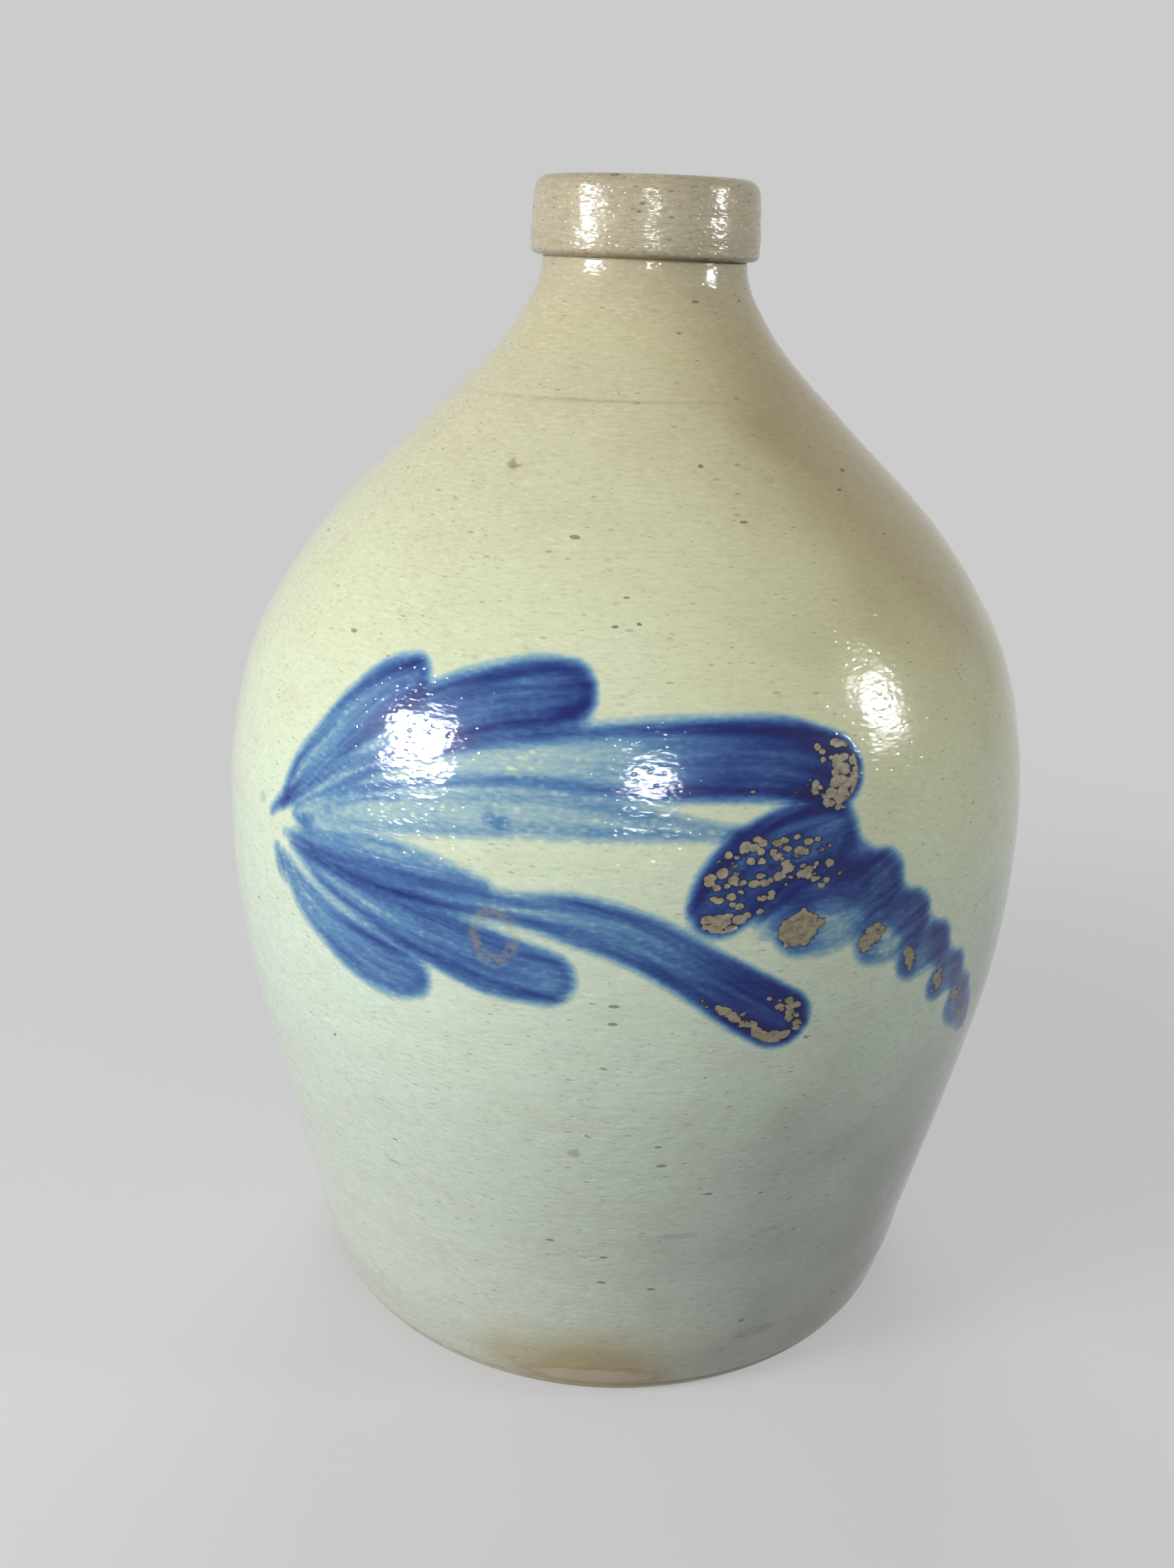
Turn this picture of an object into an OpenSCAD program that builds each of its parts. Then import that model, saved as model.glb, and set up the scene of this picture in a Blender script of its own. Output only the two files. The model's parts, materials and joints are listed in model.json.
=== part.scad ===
// Salt-glazed stoneware jug that holds about one US gallon to its neck.
// A wheel-thrown body carries a heavy collar round its mouth, a pulled strap handle that is luted
// on with a wad of clay at each end, a brown slip lining, and a tapered cork in the mouth.
// Millimetres. +Z is up, the origin is the centre of the foot, and the handle is on the +Y side.

/* [Body] */
// Height of the whole jug, from the foot to the rim
body_h = 264; // [250:1:280]
// Diameter at the widest part of the belly
belly_d = 190; // [180:1:200]
// Height of the widest part above the foot
belly_z = 118; // [110:1:126]
// Diameter of the flat foot
foot_d = 141; // [132:1:150]
// Diameter of the neck, just under the collar
neck_d = 45; // [43:0.5:47]
// Thickness of the thrown wall
wall_t = 7; // [5.5:0.5:8.5]
// Thickness of the floor
floor_t = 9; // [7:0.5:12]
// Radius inside, where the wall meets the floor
floor_fillet = 12; // [8:1:16]
// Radius of the edge round the foot
foot_edge = 1.6; // [0.8:0.2:2.4]

/* [Lining] */
// Thickness of the brown slip lining
lining_t = 0.6; // [0.4:0.1:1]

/* [Collar] */
// Height of the collar
collar_h = 16.5; // [14:0.5:20]
// Diameter of the collar, at its lower edge
collar_d = 50.5; // [49:0.5:54]
// How much less the diameter is at the rim
collar_taper = 1.2; // [0:0.2:2]
// Radius of the collar's upper outer edge
rim_round = 3; // [2:0.5:4]
// Radius of the collar's lower outer edge
hem_round = 1.4; // [0.8:0.2:1.8]
// Depth of the lip that covers the top of the neck
lip_h = 7; // [5:0.5:9]
// Radius of the lip's edge round the mouth
lip_round = 1.8; // [1:0.2:2]
// Outer diameter of the neck inside the collar
spigot_d = 38; // [36:0.5:40]
// Diameter of the mouth
mouth_d = 29; // [27:0.5:30]

/* [Handle] */
// Height from the collar's seat down to the middle of the strap's root
root_drop = 16; // [15:0.5:20]
// Angle at which the strap leaves the neck, above level
root_angle = 32; // [24:1:40]
// Height of the strap's crown above its root
crown_rise = 12; // [9:0.5:14]
// How far the strap stands out past its lower end, at its furthest
handle_stand = 6.5; // [5:0.5:8.5]
// Angle at which the strap comes down to the shoulder, below level
landing_angle = 56; // [48:1:64]
// Width of the strap where it leaves the neck
root_w = 31; // [28:1:33]
// Width of the strap past its crown
strap_w = 26; // [23:1:28]
// Thickness of the strap where it leaves the neck
root_t = 11; // [9:0.5:12]
// Thickness of the strap past its crown
strap_t = 9; // [8:0.5:10]
// Depth of the two finger grooves along the strap
groove_depth = 0.8; // [0.3:0.1:1.2]

/* [Luting wads] */
// How far a wad spreads past the strap, at the jug's surface
wad_spread = 4.5; // [3.5:0.5:5.5]
// How far a wad climbs along the strap
wad_climb = 10; // [8:0.5:12]
// Thickness of a wad at its thin upper edge
wad_edge = 0.6; // [0.4:0.1:1]

/* [Cork] */
// Length of the cork
cork_l = 36; // [30:1:40]
// How much the cork narrows over its length
cork_taper = 3.6; // [2:0.2:5]
// Bevel on the cork's two edges
cork_bevel = 0.8; // [0.4:0.2:1.2]
// Depth of the cork's top below the rim
cork_recess = 2.2; // [2:0.2:4]
// Gap between the cork's upper edge and the wall of the mouth
cork_gap = 0.3; // [0.2:0.05:0.4]

/* [Hidden] */

// Steps round a full turn, and steps in a small rounded edge
$fn = 96;
edge_steps = 6;
// Steps on each span of the thrown outline and of the strap, and round the strap's section
span_steps = 6;
strap_steps = 8;
section_steps = 32;
// Least height from the end of the floor's fillet to the next point of the wall
fillet_clear = 1.5;

belly_r = belly_d / 2;
foot_r = foot_d / 2;
neck_r = neck_d / 2;
collar_r = collar_d / 2;
rim_r = collar_r - collar_taper / 2;
spigot_r = spigot_d / 2;
mouth_r = mouth_d / 2;
throat_r = mouth_r + lining_t;
neck_wall = neck_r - throat_r;
collar_z = body_h - collar_h;
spigot_z = body_h - lip_h;

// The thrown outline from the foot to the belly: heights as shares of belly_z, and radii as
// shares of the growth from the foot to the belly
low_z_shares = [0, 0.035, 0.09, 0.27, 0.54, 0.8];
low_r_shares = [0, 0.12, 0.21, 0.41, 0.7, 0.935];
// The same from the belly to the collar: heights as shares of the way up, and radii as shares of
// the fall from the belly to the neck
high_z_shares = [0, 0.2, 0.385, 0.569, 0.754, 0.877, 1];
high_r_shares = [1, 0.975, 0.875, 0.65, 0.312, 0.1, 0];
// Share of the way up at which the wall starts to change from its own thickness to the neck's
neck_blend_share = 0.8;

// [radius, height] of every station, with the belly's own taken once
stations = concat(
    [for (i = [0 : len(low_z_shares) - 1])
        [foot_r + (belly_r - foot_r) * low_r_shares[i], belly_z * low_z_shares[i]]],
    [for (i = [0 : len(high_z_shares) - 1])
        [neck_r + (belly_r - neck_r) * high_r_shares[i],
         belly_z + (collar_z - belly_z) * high_z_shares[i]]]);
last = len(stations) - 1;

function rise(i) = stations[i + 1].y - stations[i].y;
// Slope dr/dz of the straight line from a station to the next
function chord(i) = (stations[i + 1].x - stations[i].x) / rise(i);
// Slope at a station: that of the parabola through it and its neighbours, and none at the neck
function slope(i) = i == 0 ? chord(0) : i == last ? 0
    : (chord(i - 1) * rise(i) + chord(i) * rise(i - 1)) / (rise(i - 1) + rise(i));
// Cubic curve from a station to the next at the share t of the way: its radius and its slope
function span_r(i, t) =
    pow(1 - t, 2) * ((1 + 2 * t) * stations[i].x + t * rise(i) * slope(i))
    + t * t * ((3 - 2 * t) * stations[i + 1].x - (1 - t) * rise(i) * slope(i + 1));
function span_slope(i, t) =
    6 * t * (1 - t) * chord(i) + (1 - t) * (1 - 3 * t) * slope(i) + t * (3 * t - 2) * slope(i + 1);
// Rises from 0 to 1 with level ends
function smooth(t) = let (c = min(max(t, 0), 1)) c * c * (3 - 2 * c);

// [radius, height, slope] all the way up the outside
outline = concat(
    [for (i = [0 : last - 1], k = [0 : span_steps - 1]) let (t = k / span_steps)
        [span_r(i, t), stations[i].y + rise(i) * t, span_slope(i, t)]],
    [[neck_r, collar_z, 0]]);
radius_table = [for (p = outline) [p.y, p.x]];
function radius_at(z) = lookup(z, radius_table);

// Points of a rounded corner of radius r round a centre, from one angle to another
function corner(centre, r, from, to) =
    [for (k = [0 : edge_steps]) let (a = from + (to - from) * k / edge_steps)
        centre + r * [cos(a), sin(a)]];
function reversed(list) = [for (i = [len(list) - 1 : -1 : 0]) list[i]];

// Outline of the thrown wall from the axis, round the foot's edge and up to the collar's seat
thrown_outline = concat(
    [[0, 0]],
    corner([foot_r - foot_edge, foot_edge], foot_edge, -90, 0),
    [for (p = outline) if (p.y > foot_edge) [p.x, p.y]]);

// Thickness of the wall at a height, and the inside of the wall under a skin, measured square
// to the outside
function wall_at(z) = wall_t + (neck_wall - wall_t)
    * smooth((z / collar_z - neck_blend_share) / (1 - neck_blend_share));
function inner_wall(skin) =
    [for (p = outline) let (d = (wall_at(p.y) + skin) / sqrt(1 + p.z * p.z)) [p.x - d, p.y + d * p.z]];
// Outline of the cavity under a skin, from the middle of the floor to the top of the neck
function cavity(skin) =
    let (wall = inner_wall(skin),
         fillet = floor_fillet - skin,
         fillet_z = floor_t + floor_fillet,
         wall_r = lookup(fillet_z, [for (p = wall) [p.y, p.x]]))
    concat(
        [[0, floor_t + skin]],
        corner([wall_r - fillet, fillet_z], fillet, -90, 0),
        [for (p = wall) if (p.y > fillet_z + fillet_clear && p.x > throat_r - skin) p],
        [[throat_r - skin, collar_z], [throat_r - skin, spigot_z]]);

// Share of the way up from the belly to the collar at which the strap comes down
landing_share = 0.43;
// Share of the way out from the root to the furthest point at which the strap is highest, and
// share of the way down from the root to the lower end at which it is furthest out
crown_share = 0.41;
furthest_share = 0.345;

// The strap's middle line in the plane of Y and Z, as [y, z, heading] of its root, its crown, its
// furthest point and its lower end. Root and lower end lie on the jug's surface.
root_z = collar_z - root_drop;
root_y = radius_at(root_z);
landing_z = belly_z + (collar_z - belly_z) * landing_share;
landing_y = radius_at(landing_z);
furthest_y = landing_y + handle_stand;
marks = [
    [root_y, root_z, root_angle],
    [root_y + (furthest_y - root_y) * crown_share, root_z + crown_rise, 0],
    [furthest_y, root_z + (landing_z - root_z) * furthest_share, -90],
    [landing_y, landing_z, landing_angle - 180]];
spans = len(marks) - 1;
// How far each end runs on straight into the jug, which cuts it off at its surface
buried = neck_r;
// Length of a span's end tangents as a share of its chord, which makes a quarter turn nearly round
tangent_share = 1.17;
// How square the strap's section is: 1 is an ellipse, and less is squarer
square_share = 0.7;

function mark(i) = [marks[i].x, marks[i].y];
function heading(i) = [cos(marks[i].z), sin(marks[i].z)];
function pull(i) = tangent_share * norm(mark(i + 1) - mark(i));
function line_point(i, t) =
    pow(1 - t, 2) * ((1 + 2 * t) * mark(i) + t * pull(i) * heading(i))
    + t * t * ((3 - 2 * t) * mark(i + 1) - (1 - t) * pull(i) * heading(i + 1));
function line_run(i, t) =
    6 * t * (1 - t) * (mark(i + 1) - mark(i))
    + pull(i) * ((1 - t) * (1 - 3 * t) * heading(i) + t * (3 * t - 2) * heading(i + 1));
// [y, z, heading] at the place u: 0 is the root, each mark adds 1, and the buried ends reach 1
// further
function line_at(u) =
    u < 0 ? let (p = mark(0) + u * buried * heading(0)) [p.x, p.y, marks[0].z]
    : u >= spans
        ? let (p = mark(spans) + (u - spans) * buried * heading(spans)) [p.x, p.y, marks[spans].z]
        : let (i = floor(u), p = line_point(i, u - i), d = line_run(i, u - i))
            [p.x, p.y, atan2(d.y, d.x)];

// Cross-section of the strap at the place u, grown by a margin, with the finger grooves on its
// outer face
function section(u, margin, groove) =
    let (p = line_at(u),
         w = root_w + (strap_w - root_w) * smooth(u) + 2 * margin,
         t = root_t + (strap_t - root_t) * smooth(u) + 2 * margin)
    [for (k = [0 : section_steps - 1]) let (
        a = 360 * k / section_steps,
        x = w / 2 * sign(cos(a)) * pow(abs(cos(a)), square_share),
        flat = t / 2 * sign(sin(a)) * pow(abs(sin(a)), square_share),
        h = flat - (sin(a) > 0 ? groove * pow(sin(360 * x / w), 2) : 0))
        [x, p.x - h * sin(p.z), p.y + h * cos(p.z)]];

// Closed solid through a list of sections with as many points each
module swept(sections) {
    n = len(sections[0]);
    top = len(sections) - 1;
    polyhedron(
        points = [for (s = sections) each s],
        faces = concat(
            [[for (k = [n - 1 : -1 : 0]) k]],
            [for (j = [0 : top - 1], k = [0 : n - 1]) let (a = j * n, b = (k + 1) % n)
                each [[a + k, a + b, a + n + k], [a + b, a + n + b, a + n + k]]],
            [[for (k = [0 : n - 1]) top * n + k]]));
}

module strap_sweep() {
    swept([for (k = [-strap_steps, each [0 : strap_steps * spans], strap_steps * (spans + 1)])
        section(k / strap_steps, 0, groove_depth)]);
}

// A wad's growth past the strap at a distance along it from the jug's surface, inside negative
toe_share = 0.3;
function wad_margin(s) = s < 0 ? wad_spread - toe_share * s
    : wad_edge + (wad_spread - wad_edge) * pow(1 - s / wad_climb, 2);

// The skirt of clay round one end of the strap: the end at the neck, or the one at the shoulder
module wad_sweep(at_neck) {
    span_pull = pull(at_neck ? 0 : spans - 1);
    steps = [for (k = [0 : edge_steps]) wad_climb * k / edge_steps];
    sections = concat(
        [[-1, -buried]],
        [for (s = steps) [s / span_pull, s]]);
    swept([for (q = at_neck ? sections : reversed(sections))
        section(at_neck ? q.x : spans - q.x, wad_margin(q.y), 0)]);
}

module jug_body() {
    color("#c3bda3")
        rotate_extrude()
            polygon(concat(
                thrown_outline,
                [[spigot_r, collar_z], [spigot_r, spigot_z]],
                reversed(cavity(0))));
}

module slip_lining() {
    color("#3f2415")
        rotate_extrude()
            polygon(concat(cavity(0), reversed(cavity(lining_t))));
}

// A heavy ring that stands on the neck's shoulder, with a lip over the top of the neck
module mouth_collar() {
    color("#b3a78e")
        rotate_extrude()
            polygon(concat(
                [[spigot_r, collar_z]],
                corner([collar_r - hem_round, collar_z + hem_round], hem_round, -90, 0),
                corner([rim_r - rim_round, body_h - rim_round], rim_round, 0, 90),
                corner([mouth_r + lip_round, body_h - lip_round], lip_round, 90, 180),
                [[mouth_r, spigot_z], [spigot_r, spigot_z]]));
}

// Everything inside the thrown outside, to cut off what is luted on it
module thrown_solid() {
    rotate_extrude()
        polygon(concat(thrown_outline, [[0, collar_z]]));
}

module strap_handle() {
    color("#b9b29a")
        difference() {
            strap_sweep();
            thrown_solid();
        }
}

module upper_wad() {
    color("#aea68e")
        difference() {
            wad_sweep(true);
            strap_sweep();
            thrown_solid();
        }
}

module lower_wad() {
    color("#aea68e")
        difference() {
            wad_sweep(false);
            strap_sweep();
            thrown_solid();
        }
}

module cork_stopper() {
    top_z = body_h - cork_recess;
    top_r = mouth_r - cork_gap;
    bottom_r = top_r - cork_taper / 2;
    color("#b58a5c")
        rotate_extrude()
            polygon([
                [0, top_z - cork_l],
                [bottom_r - cork_bevel, top_z - cork_l],
                [bottom_r, top_z - cork_l + cork_bevel],
                [top_r, top_z - cork_bevel],
                [top_r - cork_bevel, top_z],
                [0, top_z]]);
}

jug_body();
slip_lining();
mouth_collar();
strap_handle();
upper_wad();
lower_wad();
cork_stopper();
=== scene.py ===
# %% [markdown]
# # A salt-glazed stoneware jug
# A potter threw this jug on a wheel in one piece, stood a thick collar on its neck, and luted a
# pulled strap of clay to its back. While the clay was still damp a spray was brushed on the front
# with cobalt slip. In the kiln, salt thrown on the fire became a thin, pebbled glass over it all.
#
# The CAD model already gives the jug its sizes, its joints and its place. This script dresses it:
# it makes finer surfaces over the solids, and gives every surface its clay, glass and colour.
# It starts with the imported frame, because every piece goes where the frame says.

# %% Load the frame
import json
import math
import bpy
import numpy as np
from mathutils import Matrix, Vector

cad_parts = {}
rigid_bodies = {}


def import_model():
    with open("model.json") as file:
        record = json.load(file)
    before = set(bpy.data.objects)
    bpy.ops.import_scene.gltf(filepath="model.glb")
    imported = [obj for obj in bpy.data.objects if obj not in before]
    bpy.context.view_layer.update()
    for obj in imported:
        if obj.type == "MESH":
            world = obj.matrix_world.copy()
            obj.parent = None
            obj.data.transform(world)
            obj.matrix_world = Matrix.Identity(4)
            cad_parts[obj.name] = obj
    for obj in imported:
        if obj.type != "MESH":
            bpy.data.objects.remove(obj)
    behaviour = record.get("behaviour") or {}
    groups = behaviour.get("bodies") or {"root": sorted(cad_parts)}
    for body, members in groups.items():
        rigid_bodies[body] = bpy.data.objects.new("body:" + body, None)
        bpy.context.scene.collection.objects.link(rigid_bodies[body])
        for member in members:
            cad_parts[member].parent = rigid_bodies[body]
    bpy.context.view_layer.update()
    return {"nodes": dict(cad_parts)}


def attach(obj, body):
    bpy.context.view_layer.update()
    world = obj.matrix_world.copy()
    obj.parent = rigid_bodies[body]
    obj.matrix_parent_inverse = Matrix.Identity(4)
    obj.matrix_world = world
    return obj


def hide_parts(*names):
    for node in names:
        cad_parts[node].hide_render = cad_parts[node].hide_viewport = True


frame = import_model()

print("CAD nodes:", ", ".join(sorted(frame["nodes"])))

# %% [markdown]
# ## The camera
# A phone held some 25 cm in front of the jug, just below the height of its rim and tipped down,
# sees the foot smaller than the shoulder. A lens that is too long would lose that, so the camera's
# distance, tilt and lens were worked out from the jug's outline, whose sizes are known. The long
# side of the picture is upright, so a 36 mm sensor lies along it.

# %% Place the camera
PICTURE_HEIGHT = 2212                       # pixels, upright
FOCAL_PIXELS = 2100
SENSOR = 36                                 # mm
CAMERA_PLACE = (0, -0.3472, 0.2511)         # metres
PITCH, ROLL, YAW = (math.radians(a) for a in (20.09, 1.85, -1.48))

ahead = Vector((math.sin(YAW) * math.cos(PITCH), math.cos(YAW) * math.cos(PITCH), -math.sin(PITCH)))
level = Vector((math.cos(YAW), -math.sin(YAW), 0))
upward = level.cross(ahead)
right = math.cos(ROLL) * level + math.sin(ROLL) * upward
top = math.cos(ROLL) * upward - math.sin(ROLL) * level

lens = bpy.data.cameras.new("camera")
lens.lens = SENSOR * FOCAL_PIXELS / PICTURE_HEIGHT
lens.clip_start = 0.01
camera = bpy.data.objects.new("camera", lens)
camera.matrix_world = Matrix((right, top, -ahead)).transposed().to_4x4()
camera.location = CAMERA_PLACE
bpy.context.scene.collection.objects.link(camera)
bpy.context.scene.camera = camera
print(f"lens {lens.lens:.1f} mm, {camera.location.length:.2f} m from the foot")

# %% [markdown]
# ## Small tools
# Nearly every form here is a round pot, so a few tools do most of the work. `through` draws a
# smooth curve through a few measured points, as a potter's rib does. `lumps` gives the soft
# unevenness of a hand. `skin` stretches a mesh over a grid of points, all at once, and turns it so
# that its faces point outwards. Sizes are in millimetres until `skin` puts them in metres.

# %% Curves, hand-made unevenness, and meshes from grids
def smooth(t):
    """Rises from 0 to 1 with level ends: three squares of t less two cubes, held from 0 to 1."""
    t = np.clip(t, 0, 1)
    return t * t * (3 - 2 * t)


def through(x, at, values, level_end=False):
    """Cubic curve through the values at the places `at`. Its slope at each is that of the parabola
    through the value and its two neighbours, or none at the last if it ends level."""
    at = np.asarray(at, float)
    values = np.asarray(values, float).reshape(len(at), -1)
    step = np.diff(at)[:, None]
    chord = np.diff(values, axis=0) / step
    inner = (chord[:-1] * step[1:] + chord[1:] * step[:-1]) / (step[1:] + step[:-1])
    slope = np.vstack([chord[:1], inner, chord[-1:] * (0 if level_end else 1)])
    x = np.clip(x, at[0], at[-1])
    i = np.clip(np.searchsorted(at, x, "right") - 1, 0, len(at) - 2)
    t = ((x - at[i]) / (at[i + 1] - at[i]))[:, None]
    return ((1 - t) ** 2 * ((1 + 2 * t) * values[i] + t * step[i] * slope[i])
            + t * t * ((3 - 2 * t) * values[i + 1] - (1 - t) * step[i] * slope[i + 1]))


def lumps(points, size, seed):
    """Soft random hills from -1 to 1 about `size` apart: random heights on a cubic lattice, mixed
    with smooth() between the eight corners round each point."""
    heights = np.random.default_rng(seed).uniform(-1, 1, (32, 32, 32))
    place = np.asarray(points, float) / size + 16
    cell = np.floor(place).astype(int)
    share = smooth(place - cell)
    total = np.zeros(place.shape[:-1])
    for corner in np.ndindex(2, 2, 2):
        weight = np.where(corner, share, 1 - share).prod(axis=-1)
        i = (cell + corner) % 32
        total += weight * heights[i[..., 0], i[..., 1], i[..., 2]]
    return total


def arc(centre, radius, start, stop, steps):
    """Points of a rounded corner: centre + radius * (cos a, sin a), for a from start to stop."""
    a = np.radians(np.linspace(start, stop, steps + 1))
    return np.asarray(centre) + radius * np.stack([np.cos(a), np.sin(a)], axis=-1)


def turned(profile, angles):
    """Grid of points where each (radius, height) of the profile goes round the axis. Angle 0 is
    the front, -Y, and 90 degrees is the right, +X."""
    r, z = profile[:, 0, None], profile[:, 1, None]
    return np.stack([r * np.sin(angles), -r * np.cos(angles), z + 0 * angles], axis=-1)


def skin(name, grid, ring=False):
    """A closed mesh over a grid of rows x columns x 3 points, in mm. Columns close on themselves.
    The first and last rows shrink to a single vertex each, or join each other in a ring. The sum
    of a . (b x c) over its faces gives six times its volume, whose sign says which way they point."""
    rows, columns = grid.shape[:2]
    if ring:
        points, first, bands = grid.reshape(-1, 3), 0, rows
    else:
        points = np.vstack([grid[:1, 0], grid[1:-1].reshape(-1, 3), grid[-1:, 0]])
        first, bands = 1, rows - 3
    a = np.arange(bands)[:, None] * columns + np.arange(columns)
    nxt = np.roll(np.arange(columns), -1) - np.arange(columns)
    up = columns if not ring else (np.roll(np.arange(rows), -1) - np.arange(rows))[:, None] * columns
    quads = np.stack([a, a + nxt, a + nxt + up, a + up], axis=-1).reshape(-1, 4) + first
    corners = points[quads]
    volume = np.einsum("ij,ij->", corners[:, 0], np.cross(corners[:, 1], corners[:, 2]))
    faces = quads.tolist()
    if not ring:
        low = np.arange(columns) + 1
        high = low + bands * columns
        faces += np.stack([low + nxt, low, 0 * low], axis=-1).tolist()
        faces += np.stack([high, high + nxt, 0 * high + len(points) - 1], axis=-1).tolist()
    if volume < 0:
        faces = [face[::-1] for face in faces]
    mesh = bpy.data.meshes.new(name)
    mesh.from_pydata((points * 0.001).tolist(), [], faces)
    mesh.shade_smooth()
    piece = bpy.data.objects.new(name, mesh)
    bpy.context.scene.collection.objects.link(piece)
    print(f"{name}: {len(points)} vertices, {len(faces)} faces")
    return piece


def keep(piece, name, grid_values):
    """Stores one number per vertex on the piece, for its material to read. The grid's first and
    last rows give one number each, as they are one vertex each."""
    values = np.concatenate([grid_values[0, :1], grid_values[1:-1].ravel(), grid_values[-1, :1]])
    attribute = piece.data.attributes.new(name, "FLOAT", "POINT")
    attribute.data.foreach_set("value", values.astype(np.float32))

# %% [markdown]
# ## The thrown body
# The outline of a thrown pot is one free curve: it swells from the foot to a belly a little under
# half way, and closes over a long shoulder to a narrow neck. A lathe modifier could spin it, but a
# grid worked out as a formula leaves room for what the wheel and the hand add. Fingers leave faint
# rings, drying pulls the pot slightly out of round, one thin line was scratched round the
# shoulder while it turned, and another cut a bead round the foot. All of them only take clay away,
# so the pot stays inside its CAD size.

# %% The outline, and what the hand adds
STATIONS = np.array([                       # height, radius: mm
    (0, 70.5), (4.1, 73.4), (10.6, 75.6), (31.9, 80.5), (63.7, 87.65), (94.4, 93.4), (118, 95),
    (143.9, 93.2), (167.9, 85.9), (191.7, 69.6), (215.6, 45.1), (231.6, 29.8), (247.5, 22.5)])
FOOT, NECK = STATIONS[0, 1], STATIONS[-1, 1]
SEAT, RIM = 247.5, 264                      # where the collar stands, and the top
FOOT_EDGE = 1.6                             # radius of the edge round the foot
RINGS, WOBBLE = 0.10, 0.22                  # mm deep on average, and up to twice that
SCRATCH, BEAD = 0.2, 0.5                    # mm deep at their deepest
SCRATCH_Z, SCRATCH_SLANT = 220.7, 0.4       # it runs a little higher on the right
BEAD_Z = 3.9


def outline(z):
    """Radius of the thrown outline at the heights z."""
    return through(z, STATIONS[:, 0], STATIONS[:, 1], level_end=True)[:, 0]


def above_scratch(z, sine):
    """How far above the scratched line a point is, from its height and the sine of its angle."""
    return z - SCRATCH_Z - SCRATCH_SLANT * sine


def hand(points):
    """How much clay the hand took away at points on the outside: finger rings some 5 mm high that
    run round the pot, a slow wobble, and the scratched line and the foot's bead, which are bell
    curves of the height that fade here and there."""
    x, y, z = np.moveaxis(points, -1, 0)
    round_the_pot = np.stack([x / 70, y / 70, z / 5.5], axis=-1)
    rings = RINGS * (1 + lumps(round_the_pot, 1, 3)) * smooth((z - 4) / 10)
    wobble = WOBBLE * (1 + lumps(points, 75, 8)) * smooth((240 - z) / 20)
    off_line = above_scratch(z, x / np.hypot(x, y))
    scratch = SCRATCH * np.exp(-(off_line / 0.40) ** 2) * smooth(0.95 + lumps(points, 22, 5))
    bead = BEAD * np.exp(-((z - BEAD_Z) / 0.5) ** 2) * smooth(1.1 + lumps(points, 30, 6))
    return rings + wobble + scratch + bead


angles = np.radians(np.concatenate([        # closest together at the painting, then the handle
    np.arange(-54, 62.2, 0.55), np.arange(63, 96, 1.5), np.arange(98, 159, 5),
    np.arange(160, 201, 1.6), np.arange(204, 264, 5), np.arange(265, 305, 1.5)]))
heights = np.concatenate([                  # closest together at the foot, painting and scratch
    np.arange(1.9, 6, 0.36), np.arange(6.3, 30, 1.3), np.arange(30, 84, 2), np.arange(84, 180, 0.78),
    np.arange(180, 218.5, 1.25), np.arange(218.5, 223, 0.3), np.arange(223, SEAT, 1.2), [SEAT]])
print(f"{len(heights)} rows up the outside, {len(angles)} columns round it")

# %% [markdown]
# Inside, the wall follows the outside at an even thickness, measured square to it, down to a floor
# with a rounded corner. The brown lining is a CAD piece of its own and covers all of this, so the
# inside needs only a few rows. It keeps just behind the lining, and never pokes through it.

# %% The wall's inside, and the whole grid
WALL, FLOOR, THROAT = 6.7, 8.7, 15.4        # 0.3 mm short of the lining's back
FILLET = 12                                 # where the wall meets the floor
SPIGOT, SPIGOT_TOP = 19, 257                # the part of the neck that stands inside the collar


def inside(z):
    """Points (radius, height) of the inside: each point of the outside moved inwards along its
    own normal by the wall's thickness, which turns to the neck's towards the top."""
    r = outline(z)
    slope = (outline(z + 0.05) - outline(z - 0.05)) / 0.1
    thick = WALL + (NECK - THROAT - WALL) * smooth((z / SEAT - 0.8) / 0.2)
    d = thick / np.sqrt(1 + slope ** 2)
    return np.stack([r - d, z + d * slope], axis=-1)


wall = inside(np.arange(238, 20, -7.0))
wall = wall[(wall[:, 0] > THROAT) & (wall[:, 1] > FLOOR + FILLET + 2)]
corner_r = wall[-1, 0] - 0.5 - FILLET
floor_corner = arc((corner_r, FLOOR + FILLET), FILLET, 0, -90, 6)
foot_corner = arc((FOOT - FOOT_EDGE, FOOT_EDGE), FOOT_EDGE, -90, 0, 5)
outside = np.stack([outline(heights), heights], axis=-1)
underside = [[0, 0], [40, 0], [62, 0]]
body_profile = np.vstack([
    underside, foot_corner, outside,
    [[SPIGOT, SEAT], [SPIGOT, SPIGOT_TOP], [THROAT, SPIGOT_TOP], [THROAT, SEAT]],
    wall, floor_corner, [[30, FLOOR], [0, FLOOR]]])
body_grid = turned(body_profile, angles)

first = len(underside) + len(foot_corner)
shell = slice(first, first + len(heights))
ware = body_grid[shell]                     # the grid's own rows, so a change here is made there
away = hand(ware) * smooth((SEAT - 1 - ware[..., 2]) / 4)
ware[..., :2] *= (1 - away / outside[:, 0, None])[..., None]
jug_body = skin("jug_ware", body_grid)
print(f"the hand took away up to {away.max():.2f} mm")

# %% [markdown]
# ## The cobalt spray
# The decorator worked fast with a loaded brush: from one point at the left, leaves fanned out and
# two long plumes crossed to the right, where a tassel of shrinking dabs hangs. A stroke starts as a
# point, swells as the brush is pressed, and ends round where it lifts. The slip is thin where the
# brush drags, and thick at its rims and its end. Each stroke is a few places along its middle: mm
# round the jug from the front, mm up, half its width in mm, and how loaded the brush is, from 0 to
# 16. Painting in a formula keeps each stroke soft and clean at any size, and needs no picture.

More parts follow.
